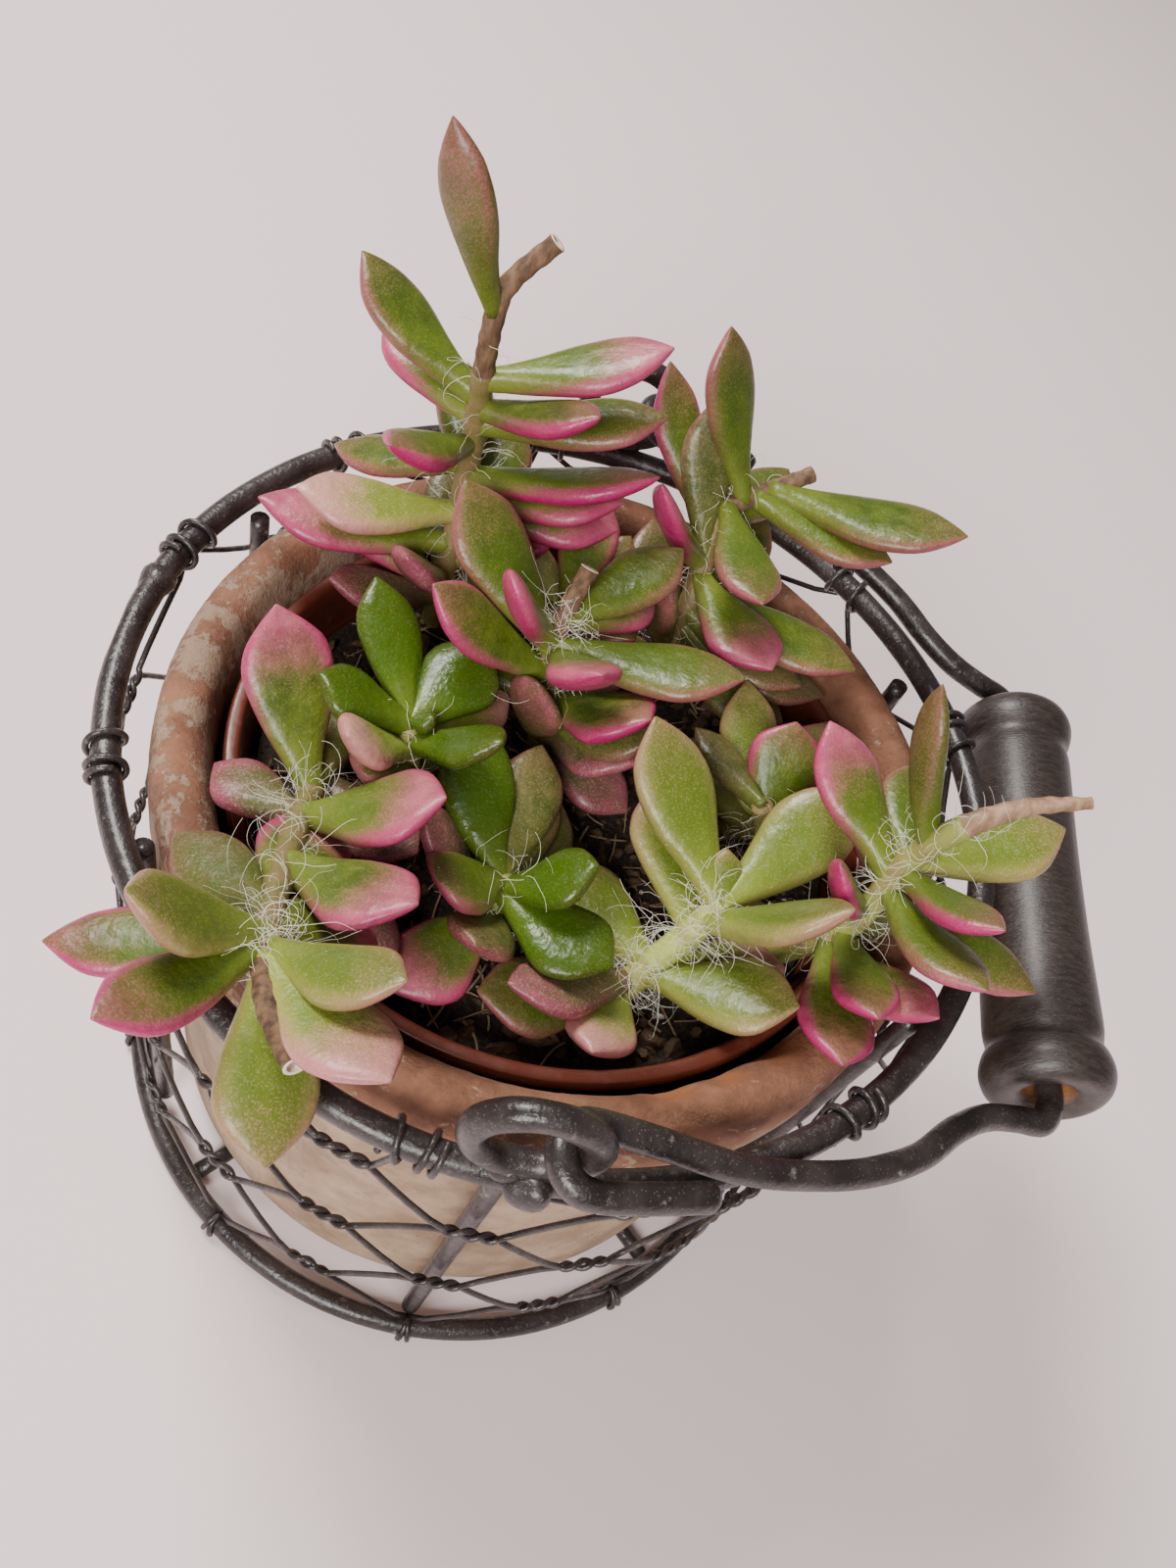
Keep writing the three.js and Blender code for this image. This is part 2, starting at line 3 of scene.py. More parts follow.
import bpy
import numpy as np
from mathutils import Matrix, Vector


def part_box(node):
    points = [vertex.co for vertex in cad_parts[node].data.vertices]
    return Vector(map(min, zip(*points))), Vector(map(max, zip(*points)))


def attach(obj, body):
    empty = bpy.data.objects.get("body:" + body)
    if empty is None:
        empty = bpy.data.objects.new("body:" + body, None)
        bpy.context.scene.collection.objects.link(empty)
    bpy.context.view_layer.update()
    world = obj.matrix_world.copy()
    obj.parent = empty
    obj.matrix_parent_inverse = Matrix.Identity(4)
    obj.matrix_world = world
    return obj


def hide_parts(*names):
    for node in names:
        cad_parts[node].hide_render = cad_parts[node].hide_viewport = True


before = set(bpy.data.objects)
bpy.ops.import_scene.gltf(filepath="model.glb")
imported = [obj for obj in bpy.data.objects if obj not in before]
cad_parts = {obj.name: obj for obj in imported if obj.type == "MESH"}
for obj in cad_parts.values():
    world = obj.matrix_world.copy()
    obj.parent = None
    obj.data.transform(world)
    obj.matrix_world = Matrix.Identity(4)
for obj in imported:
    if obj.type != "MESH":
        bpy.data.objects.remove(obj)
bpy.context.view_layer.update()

# Lengths are in millimetres, in the frame of the CAD part, where a comment says nothing else
MM = 0.001
SEED = 41

# Camera, fitted to the photo: its place, and the directions of the picture's right and down
CAMERA_PLACE = (-28.5, -132.8, 270.7)
CAMERA_RIGHT = (0.9614, 0.1030, 0.2553)
CAMERA_DOWN = (0.2325, -0.8003, -0.5527)
CAMERA_LENS = 31.5
CAMERA_SENSOR = 36
CAMERA_NEAR = 10

# Light and floor, in metres and watts. A light is its name, place, size, power and colour
LIGHT_AIM = (0, 0, 0.1)
LIGHTS = (
    ("window", (-0.45, 0.45, 0.95), 0.42, 15, (1.0, 0.97, 0.93)),
    ("front_panel", (-0.25, -0.8, 0.7), 0.5, 13, (1.0, 0.97, 0.94)),
)
ROOM_COLOUR = (1.0, 0.96, 0.92, 1)
ROOM_STRENGTH = 0.19
FLOOR_HALF = 4.0

# Basket frame
RIM_RADIUS = 70
RIM_Z = 101
RIM_WIRE = 4.3
FOOT_RADIUS = 65.5
FOOT_Z = 2.0325
FOOT_WIRE = 4.06
POST_WIRE = 3.3
POST_INSET = 3.05
POST_TURNS = (30, 90, 150, 210, 270, 330)
POST_LOW = 4.85
POST_HIGH = 98.5
CROSS_WIRE = 3.1
CROSS_Z = 1.571
CROSS_REACH = 62.8
CROSS_TURNS = (45, 135)
WELD_TURN = 170
WELD_SIZE = (2.9, 3.4, 2.5)
RING_STEPS = 240
RING_SIDES = 18
ROD_STEPS = 40
ROD_SIDES = 14
RIM_LUMPS = 0.02
POST_LUMPS = 0.03

# Netting
NET_WIRE = 1.05
NET_COLUMNS = 10
NET_ROWS = (87, 71, 55, 39, 23)
NET_FIRST = 252
TWIST_LENGTH = 8.4
TWIST_TURNS = 1.5
TWIST_RADIUS = 0.5
TWIST_STEPS = 15
TWIST_OUT = 0.3
NET_SIDES = 7
NET_SHAKE = 0.35
NET_INSET = 0.4
NET_MARGIN = 5

# How the net's wires wind round the rim ring. 1 and -1 stand for the two ways that they lean:
# the angle where the winding ends, under the ring, and how far round it goes, in degrees
WRAP_TURNS = (259, 312, 342, 18, 48, 101, 132, 162, 198, 228)
WRAP_LAST = {1: -90, -1: -70}
WRAP_WOUND = {1: 560, -1: 380}
WRAP_GAP = 0.05
WRAP_APART = 0.9
WRAP_SLIP = 2.4
WRAP_STEPS = 26

# How they hook round the foot ring
NET_HOOK_FIRST = 110
NET_HOOK_LAST = -28
NET_HOOK_SLIP = 0.8
NET_HOOK_STEPS = 10

# Eyes and handle
EYE_WIRE = 4.2
EYE_MEAN = 7.9
EYE_Z = 113.55
HANDLE_WIRE = 4.2
HANDLE_TILT = 14.5
HOOK_RADIUS = 4.5
HOOK_END = ((26, 70), (17, 72.6))
HANDLE_SIDE = (
    (18, 65.3), (30, 65.2), (42, 62.8), (51, 59.8), (60, 55), (67, 48.9), (73, 45.3), (79.5, 43.6),
    (84.6, 42.6), (86.5, 39), (86.5, 34),
)
GRIP_REACH = 86.5
GRIP_SIDE = (
    (2.8, 34.5), (4.2, 37.2), (5.6, 38.1), (8.0, 38.3), (9.6, 37.2), (10.4, 35.4), (10.5, 33.8), (10.0, 31.8),
    (9.3, 30.4), (9.15, 29.2), (9.45, 27.2), (9.4, 22), (9.15, 14), (9.0, 6),
)
GRIP_STEPS = 96
BARE_RADIUS = 4.6
BARE_FADE = 1.2
HANDLE_STEPS = 420
HANDLE_LUMPS = 0.015
HANDLE_ENDS = (0.7, 0.95)
EYE_STEPS = 110

# Weld beads at an eye's foot: shift along X, out and up from the rim ring, then sizes,
# roughness, rows and sides
EYE_BEADS = (
    ((1.6, 2.5, 3.0), (3.3, 2.7, 2.5), 0.1, 14, 20),
    ((-0.6, 0.6, 3.6), (3.4, 2.2, 1.9), 0.12, 12, 16),
)

# Pots and soil
CLAY_PROFILE = (
    (6, 3.5), (54, 3.5), (56.2, 4.1), (57, 6), (58.6, 40), (60.2, 77), (61.0, 79), (62.8, 80.4), (63.9, 82.4),
    (64.2, 87), (64.3, 92), (63.9, 95.6), (62.8, 98.2), (60.6, 99.3), (58.4, 99), (56.8, 97.6), (55.6, 95),
    (54.8, 91), (49.2, 12.2), (47, 12), (6, 12),
)
NURSERY_PROFILE = (
    (5, 12.5), (39, 12.5), (39.8, 13.5), (51.1, 90.5), (52.6, 90.8), (53.4, 91.6), (53.5, 92.8), (53.2, 93.8),
    (52.2, 94), (51.3, 93.8), (50.7, 92.6), (50.2, 90), (38.6, 14), (37.6, 13.5), (5, 13.5),
)
SOIL_RADIUS = 48.4
SOIL_Z = 85
SOIL_LOW = 14
SOIL_FOOT = 37.6
SOIL_STEPS = 220
SOIL_ROWS = 90
CRUMB_COUNT = 1100
PERLITE_EVERY = 14
FIBRE_COUNT = 420
CLAY_STEPS = 288
NURSERY_STEPS = 240
LIP_Z = 78
LIP_FADE = 6

# Chips in the clay lip's inner edge: turn, width in degrees, and depth
CLAY_CHIPS = ((292, 3.2, 1.3), (301, 2.2, 0.9), (312, 4.0, 1.5), (60, 3.0, 0.8))
CHIP_RADIUS = 56.2
CHIP_REACH = 2.2
CHIP_Z = 92

# Leaves: shares of the length, and of the full width and thickness there
LEAF_STEPS = (0, 0.08, 0.16, 0.27, 0.4, 0.53, 0.66, 0.78, 0.88, 0.95, 1)
LEAF_WIDTHS = (0.3, 0.32, 0.4, 0.55, 0.76, 0.93, 1.0, 0.89, 0.59, 0.28, 0.03)
BLUNT_WIDTHS = (0.3, 0.36, 0.5, 0.7, 0.88, 0.98, 1.0, 0.97, 0.86, 0.58, 0.12)
LEAF_HEIGHTS = (0.8, 0.85, 0.92, 1.0, 1.0, 0.98, 0.92, 0.78, 0.58, 0.36, 0.06)
LEAF_THICK = 5.2
LEAF_SAG = 0.05
LEAF_ROWS = 26
LEAF_SIDES = 24
LEAF_CROWDING = 1.35
LEAF_LENS = 0.9
LEAF_UPPER = 0.46
LEAF_LOWER = 0.48
LEAF_LOPSIDED = 0.05
LEAF_WAVE = 0.02
LEAF_TROUGH = 0.06
TROUGH_WIDTH = 0.3
LEAF_CUP = 0.015
LEAF_SWAY = 0.35
LEAF_SPIN = 5

# Stalks and hairs
STALK_STEP = 0.8
STALK_SIDES = 16
STALK_LUMPS = 0.02
SCAR_REACH = 0.7
ROOT_STEPS = 5
ROOT_DEPTH = 6.0
HAIR_STEPS = 10
HAIR_RADIUS = 0.052
HAIR_SHAKE = 0.15
HAIR_CURL = 0.28
AXIL_SHARE = 0.75

# How a curve's knots are spaced: evenly, or by the square root of the distance
EVEN = 0.0
CENTRIPETAL = 0.5

# Material slots of a leafy stem, and of the crumbs on the soil
LEAF, STALK, TWIG, CUT = range(4)
BARK, PERLITE = range(2)

# Every stem: the points that it passes through from the soil up, and its radius. Then its stalk:
# how yellow-green it is, the distance at which it turns to a dead twig, how light that twig is, and
# the stretch that carries long hairs, with their number. Then its leaves' looks, one letter a leaf,
# read off the photo. Then its leaves, each as (distance along the stem, turn about Z, lift,
# length, width, roll), in mm and degrees, where a roll of 0 is left out. A leaf with a seventh
# value, True, is a blunt one.
NO_TWIG = 99
STEMS = {
    "back_left_stem": (
        (
            (-26, 33, 86.5), (-26, 30, 99), (-26, 34, 112), (-27, 36, 129), (-28, 34, 148),
            (-27, 36, 154), (-22, 38, 161),
        ),
        1.9, (0.1, 54, 0.22, (14, 62, 90)),
        "sgpmmpgmppkpgdpdoggp",
        (65, 177, 67, 28, 8, 70), (48, 153, 25, 27, 11), (44, 137, 1, 24, 10), (39, -122, 28, 24, 10),
        (46, -32, 33, 24, 10), (52, 9, 24, 29, 11), (43, 5, 18, 30, 11), (33, -8, 25, 32, 11, -15),
        (28, 2, 4, 26, 11), (30, -1, 15, 26, 11), (26, -162, 8, 27, 12), (20, -174, 4, 32, 12),
        (36, 161, -26, 26, 10), (13, -118, 48, 20, 10), (11, 160, 18, 22, 10), (8, -150, 22, 22, 10),
        (12, 95, 20, 24, 11), (23, 75, 15, 24, 11), (32, 100, 10, 24, 10), (17, 20, 25, 20, 10),
    ),
    "back_right_stem": (
        (
            (13, 31, 86.5), (16, 34, 103), (17, 45, 115), (20, 47, 118), (31, 53, 123),
        ),
        1.9, (0.1, 37, 0.25, (8, 44, 100)),
        "gmgggppgoogogooo",
        (39, 145, 61, 30, 10, -15), (30, 127, 37, 30, 9, -10), (44, -15, 15, 34, 13),
        (41, -19, 3, 26, 11), (36, -77, 9, 26, 11), (25, -157, 54, 24, 9, 5), (23, -58, 8, 24, 13, 5),
        (21, -20, 2, 31, 12), (17, -25, -2, 24, 11), (26, 110, 53, 27, 10), (19, 60, 10, 24, 11),
        (11, 110, 20, 22, 11), (32, 55, 4, 22, 10), (14, -11, -6, 29, 12), (10, -27, -3, 25, 12),
        (9, -151, 71, 22, 11),
    ),
    "middle_stem": (
        (
            (-4, 10, 86.5), (-5, 7, 101), (-7, 9, 111), (-7, 12, 116), (-5, 17, 123),
        ),
        1.9, (0.1, 28, 0.1, (16, 36, 190)),
        "gpmgpmdpggdood",
        (27, -6, 13, 30, 12), (27, -160, 57, 20, 9), (21, -174, 37, 27, 11, -5), (26, 143, 33, 29, 13),
        (25, -70, 44, 22, 11), (16, -37, 39, 22, 14), (6, -38, 34, 22, 12), (31, 46, -12, 22, 11),
        (31, 44, 14, 24, 11), (13, 139, 13, 20, 11), (11, 60, 15, 20, 11), (10, -30, 37, 23, 12),
        (6, -121, 67, 22, 11), (8, -34, -9, 20, 11),
    ),
    "left_rosette_stem": (
        ((-24, 1, 86.5), (-24, -9, 96), (-26, -7, 106)), 1.8, (0.6, NO_TWIG, 0.0, (6, 22, 60)),
        "rrrrkrkook",
        (24, 117, 20, 24, 10), (24, 58, 14, 18, 13), (24, 179, 25, 16, 11, 5), (24, -23, 56, 6, 4),
        (22, 48, -9, 21, 11), (21, -34, 48, 22, 10, 5), (19, -133, 47, 20, 10),
        (16, -122, 41, 16, 11, -10), (14, 64, 4, 24, 11, -5), (8, -159, 52, 20, 11, -10),
    ),
    "front_left_stem": (
        (
            (-34, 2, 86.5), (-37, -13, 96), (-38, -26, 103), (-38, -43, 111), (-37, -53, 115),
            (-35, -61, 117), (-30, -69, 119),
        ),
        2, (0.1, 64, 0.0, (20, 68, 300)),
        "ppdoppymmpyykodd",
        (25, 120, 39, 28, 14), (32, -4, 38, 24, 14), (32, 150, -14, 17, 10, 5), (26, 92, -2, 24, 11),
        (50, 78, -30, 20, 13, 0, True), (44, -28, 32, 24, 13), (60, -154, 45, 24, 11),
        (60, -172, -15, 28, 10), (62, -130, 23, 26, 10), (60, 44, -35, 20, 12, 0, True),
        (62, -26, 38, 24, 10), (64, -75, -20, 25, 13), (64, -44, 22, 26, 13, -5), (57, 139, -20, 22, 10),
        (19, -33, 7, 20, 12), (39, -33, -29, 25, 12),
    ),
    "front_rosette_stem": (
        ((-6, -14, 86.5), (-7, -28, 93), (-8, -25, 100)), 1.8, (0.7, NO_TWIG, 0.0, (14, 23, 120)),
        "rorgropood",
        (22, 113, 22, 24, 12), (22, 84, 10, 24, 11, 5), (21, 1, 44, 17, 10),
        (22, -146, 33, 14, 11, 0, True), (21, -31, 9, 21, 13), (20, 79, 1, 22, 11),
        (18, -130, -13, 20, 13, -5), (15, -105, 39, 16, 11), (14, 74, 9, 22, 12), (10, 176, 47, 22, 11),
    ),
    "front_right_stem": (
        (
            (15, -31, 86.5), (15, -33, 89), (20, -29, 97), (25, -25, 105),
        ),
        2.3, (1.0, NO_TWIG, 0.0, (1, 24, 400)),
        "yyyyygykykd",
        (23, 127, 28, 30, 13), (17, 112, 18, 24, 13), (23, 47, 25, 28, 13), (20, -25, 54, 27, 12, -15),
        (9, 133, -4, 22, 13), (4, -162, 4, 24, 13), (7, -18, 29, 25, 13), (2, -108, 27, 19, 11, 5),
        (23, 97, 34, 9, 5), (9, 11, 1, 22, 12), (5, -154, 22, 24, 11, 15),
    ),
    "right_low_stem": (
        ((30, 2, 86.5), (33, -4, 97), (31, -4, 103)), 1.8, (0.3, NO_TWIG, 0.0, (4, 17, 60)),
        "yomomggddg",
        (9, 101, 20, 26, 10, -10), (19, 130, -4, 18, 7), (13, 86, 43, 18, 13), (10, 120, -10, 22, 11),
        (13, 65, 1, 28, 11), (16, 0, 30, 20, 10), (5, 20, 20, 20, 11), (15, 76, 8, 19, 13, -10),
        (8, 70, -13, 18, 10), (5, -11, 40, 23, 11, 5),
    ),
    "right_stem": (
        (
            (40, -20, 86.5), (45, -23, 103), (48, -20, 120), (51, -20, 130), (58, -18, 135),
            (66, -17, 138),
        ),
        2, (0.5, 46, 1.0, (8, 48, 240)),
        "psgymggmmmpmoo",
        (30, 128, 24, 25, 11), (39, 127, 58, 25, 8, 70), (33, 82, 0, 20, 10), (34, 21, 13, 25, 12),
        (32, -62, 38, 22, 8), (28, -66, 27, 25, 10), (28, -27, 0, 26, 10), (22, -161, 55, 19, 8),
        (16, -88, 30, 23, 10, 10), (13, -93, 19, 27, 12), (9, -56, 38, 28, 9, 15), (28, 105, -3, 22, 7),
        (21, 60, 10, 21, 10), (14, 40, 15, 19, 11),
    ),
    "centre_back_stem": (
        ((-6, 27, 86.5), (-4, 28, 95), (-5, 27, 103)), 1.8, (0.2, NO_TWIG, 0.0, (2, 14, 30)),
        "ppggopogo",
        (17, 80, 30, 20, 10), (14, -139, 42, 20, 10, 15), (11, -11, -1, 19, 11), (16, -47, 31, 18, 9, -5),
        (7, 120, 15, 22, 11), (9, 47, -2, 22, 11), (5, -130, 20, 18, 10), (8, 64, 32, 22, 11, 5),
        (5, 152, 14, 28, 11),
    ),
}

# What a letter stands for: how pink the leaf's outer half is, how magenta its margin and
# underside are, how pale, how young and glossy, and how far it is mixed towards dull mauve
LOOK_NAMES = ("rosy", "magenta", "pale", "young", "dusky")
LEAF_LOOKS = {
    "g": (0.26, 0.45, 0.1, 0.25, 0.0),
    "p": (0.82, 0.65, 0.16, 0.0, 0.0),
    "m": (0.38, 1.0, 0.08, 0.0, 0.0),
    "y": (0.3, 0.15, 0.44, 0.1, 0.0),
    "k": (0.9, 0.25, 0.9, 0.0, 0.1),
    "r": (0.1, 0.05, 0.0, 1.0, 0.0),
    "s": (0.15, 0.2, 0.0, 0.0, 0.0),
    "d": (0.65, 0.6, 0.0, 0.0, 0.85),
    "o": (0.22, 0.25, 0.0, 0.0, 0.35),
}

# Linear colours of the materials, tuned until the render's tones came near the photo's: those
# that mottle each other, dark and light, and single ones
PAIRS = {
    "green": ((0.034, 0.06, 0.003), (0.088, 0.13, 0.006)),
    "pink": ((0.36, 0.026, 0.112), (0.49, 0.08, 0.16)),
    "mauve": ((0.11, 0.085, 0.04), (0.24, 0.08, 0.1)),
    "stalk": ((0.11, 0.105, 0.025), (0.23, 0.15, 0.06)),
    "twig": ((0.045, 0.021, 0.009), (0.19, 0.1, 0.048)),
    "straw": ((0.21, 0.115, 0.065), (0.42, 0.26, 0.165)),
    "cut": ((0.7, 0.56, 0.4), (0.86, 0.76, 0.62)),
    "hair": ((0.8, 0.75, 0.6), (0.93, 0.9, 0.8)),
    "iron": ((0.016, 0.011, 0.011), (0.04, 0.03, 0.029)),
    "wire": ((0.018, 0.013, 0.013), (0.044, 0.033, 0.032)),
    "paint": ((0.02, 0.014, 0.012), (0.046, 0.032, 0.027)),
    "lip": ((0.165, 0.068, 0.036), (0.32, 0.145, 0.082)),
    "clay": ((0.33, 0.215, 0.135), (0.56, 0.4, 0.275)),
    "lime": ((0.26, 0.18, 0.12), (0.46, 0.36, 0.265)),
    "soil": ((0.014, 0.009, 0.006), (0.07, 0.042, 0.027)),
    "bark": ((0.024, 0.014, 0.008), (0.2, 0.12, 0.065)),
    "perlite": ((0.52, 0.47, 0.4), (0.72, 0.68, 0.61)),
    "fibre": ((0.22, 0.13, 0.07), (0.52, 0.37, 0.22)),
    "floor": ((0.9, 0.765, 0.78), (0.92, 0.785, 0.8)),
}
PALETTE = {
    "green_tint": (0.062, 0.104, 0.004),
    "green_pale": (0.21, 0.28, 0.028),
    "green_young": (0.044, 0.094, 0.002),
    "leaf_root": (0.34, 0.4, 0.05),
    "leaf_rim": (0.47, 0.4, 0.12),
    "pink_pale": (0.66, 0.38, 0.28),
    "pink_deep": (0.4, 0.01, 0.115),
    "leaf_fleck": (0.72, 0.66, 0.36),
    "stalk_fresh": (0.47, 0.53, 0.12),
    "stalk_scar": (0.3, 0.17, 0.09),
    "iron_speck": (0.28, 0.235, 0.22),
    "iron_scuff": (0.4, 0.37, 0.35),
    "paint_chip": (0.3, 0.15, 0.07),
    "bare_wood": (0.33, 0.14, 0.05),
    "paint_speck": (0.3, 0.27, 0.25),
    "clay_flake": (0.5, 0.4, 0.31),
    "clay_soot": (0.07, 0.045, 0.032),
    "clay_chip": (0.42, 0.15, 0.05),
    "plastic": (0.11, 0.024, 0.013),
    "plastic_dust": (0.26, 0.13, 0.09),
    "soil_bit": (0.19, 0.12, 0.075),
}


# Meshes are gathered as grids of points, in millimetres, with a few values for each point
class Soup:
    def __init__(self):
        self.points = []
        self.faces = []
        self.slots = []
        self.values = {}
        self.count = 0

    def add(self, points, faces, slot=0, **values):
        points = np.asarray(points, float).reshape(-1, 3)
        for name in sorted(set(self.values) | set(values)):
            kept = self.values.setdefault(name, [np.zeros(self.count)])
            value = values.get(name, 0.0)
            kept.append(np.broadcast_to(np.asarray(value, float).ravel(), len(points)).copy())
        self.points.append(points)
        self.faces.extend([tuple(int(i) + self.count for i in face) for face in faces])
        self.slots.extend([slot] * len(faces))
        self.count += len(points)

    def add_grid(self, grid, slot=0, closed=False, caps=True, **values):
        rows, sides = grid.shape[:2]
        faces = []
        last = rows if closed else rows - 1
        for i in range(last):
            a = i * sides
            b = ((i + 1) % rows) * sides
            for k in range(sides):
                n = (k + 1) % sides
                faces.append((a + k, a + n, b + n, b + k))
        if caps and not closed:
            faces.append(tuple(range(sides - 1, -1, -1)))
            faces.append(tuple((rows - 1) * sides + k for k in range(sides)))
        spread = {name: self.over(value, rows, sides) for name, value in values.items()}
        self.add(grid, faces, slot, **spread)

    @staticmethod
    def over(value, rows, sides):
        value = np.asarray(value, float)
        if value.ndim == 1 and len(value) == rows:
            value = value[:, None]
        return np.broadcast_to(value, (rows, sides)).ravel()

    def make(self, name, materials, body="basket", replaces=(), smooth=True):
        mesh = bpy.data.meshes.new(name)
        points = np.concatenate(self.points) * MM
        mesh.from_pydata(points.tolist(), [], self.faces)
        for material in materials:
            mesh.materials.append(material)
        mesh.polygons.foreach_set("material_index", self.slots)
        mesh.polygons.foreach_set("use_smooth", [smooth] * len(mesh.polygons))
        for key, parts in self.values.items():
            attribute = mesh.attributes.new(key, "FLOAT", "POINT")
            attribute.data.foreach_set("value", np.concatenate(parts).astype(np.float32))
        mesh.validate()
        mesh.update()
        piece = bpy.data.objects.new(name, mesh)
        bpy.context.scene.collection.objects.link(piece)
        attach(piece, body)
        if replaces:
            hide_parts(*replaces)
        return piece


def unit(vectors):
    vectors = np.asarray(vectors, float)
    size = np.linalg.norm(vectors, axis=-1, keepdims=True)
    return vectors / np.maximum(size, 1e-9)


def around(count):
    return np.linspace(0, 2 * math.pi, count, endpoint=False)


def polar(radius, degrees, z):
    angle = math.radians(degrees)
    return np.array([radius * math.cos(angle), radius * math.sin(angle), z])


def side_radius(z):
    return FOOT_RADIUS + (RIM_RADIUS - FOOT_RADIUS) * (z - FOOT_Z) / (RIM_Z - FOOT_Z)


# A curve through points, as the CAD part draws it: knots are spaced by distance to a power
def curve_through(points, power, steps):
    points = [np.asarray(p, float) for p in points]
    points = [2 * points[0] - points[1], *points, 2 * points[-1] - points[-2]]
    found = []
    for i in range(1, len(points) - 2):
        p0, p1, p2, p3 = points[i - 1:i + 3]
        d0, d1, d2 = (np.linalg.norm(b - a) ** power for a, b in ((p0, p1), (p1, p2), (p2, p3)))
        m1 = ((p1 - p0) / d0 - (p2 - p0) / (d0 + d1) + (p2 - p1) / d1) * d1
        m2 = ((p2 - p1) / d1 - (p3 - p1) / (d1 + d2) + (p3 - p2) / d2) * d1
        for t in np.arange(steps) / steps:
            h = (2 * t**3 - 3 * t**2 + 1, t**3 - 2 * t**2 + t, -2 * t**3 + 3 * t**2, t**3 - t**2)
            found.append(h[0] * p1 + h[1] * m1 + h[2] * p2 + h[3] * m2)
    found.append(points[-2])
    return np.array(found)


def lengths_along(line):
    return np.concatenate([[0], np.cumsum(np.linalg.norm(np.diff(line, axis=0), axis=1))])


def points_at(places, along, line):
    return np.stack([np.interp(places, along, line[:, i]) for i in range(3)], axis=-1)


def resample(line, count):
    along = lengths_along(line)
    return points_at(np.linspace(0, along[-1], count), along, line)


# Keeps points within the box of a CAD solid
def keep_in(name, points):
    low, high = (np.array(corner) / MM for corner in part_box(name))
    return np.clip(points, low, high)


# Directions square to a line, carried along it without twist
def frames_along(line, closed=False):
    if closed:
        tangent = unit(np.roll(line, -1, axis=0) - np.roll(line, 1, axis=0))
    else:
        tangent = unit(np.gradient(line, axis=0))
    start = np.array([0, 0, 1.0]) if abs(tangent[0][2]) < 0.9 else np.array([1.0, 0, 0])
    first = unit(start - tangent[0] * (start @ tangent[0]))
    normals = [first]
    for t in tangent[1:]:
        n = normals[-1]
        normals.append(unit(n - t * (n @ t)))
    normals = np.array(normals)
    return tangent, normals, np.cross(tangent, normals)


def tube(line, radius, sides=14, closed=False, lumps=0.0, rng=None):
    _, n, b = frames_along(line, closed)
    angle = around(sides)
    radius = np.broadcast_to(np.asarray(radius, float), len(line)).copy()
    if lumps and rng is not None:
        along = np.linspace(0, 1, len(line), endpoint=not closed)
        for wave in (9, 17, 31):
            radius *= 1 + lumps * np.sin(2 * math.pi * (wave * along + rng.random())) / 3
    offset = np.cos(angle)[None, :, None] * n[:, None] + np.sin(angle)[None, :, None] * b[:, None]
    return line[:, None] + offset * radius[:, None, None]


def circle(radius, z):
    angle = around(RING_STEPS)
    return np.stack([radius * np.cos(angle), radius * np.sin(angle), np.full(RING_STEPS, z)], axis=1)


# A turned body from a closed outline, rounded between its points
def lathe(profile, steps, fine):
    outline = np.array([(r, 0, z) for r, z in profile], float)
    outline = curve_through(outline, CENTRIPETAL, fine)
    angle = around(steps)
    grid = np.empty((steps, len(outline), 3))
    grid[..., 0] = np.cos(angle)[:, None] * outline[:, 0]
    grid[..., 1] = np.sin(angle)[:, None] * outline[:, 0]
    grid[..., 2] = outline[:, 2]
    return grid


# A lump: a ball of rows and sides, pushed in and out a little
def lump(centre, sizes, rng, rough, rows=10, sides=14):
    polar_angle = np.linspace(0.08, math.pi - 0.08, rows)
    angle = around(sides)
    grid = np.empty((rows, sides, 3))
    grid[..., 0] = np.sin(polar_angle)[:, None] * np.cos(angle)
    grid[..., 1] = np.sin(polar_angle)[:, None] * np.sin(angle)
    grid[..., 2] = -np.cos(polar_angle)[:, None]
    for _ in range(3):
        way = unit(rng.normal(size=3))
        grid *= 1 + rough * np.sin(3 * (grid @ way) + 6 * rng.random())[..., None]
    return np.asarray(centre, float) + grid * np.asarray(sizes, float)


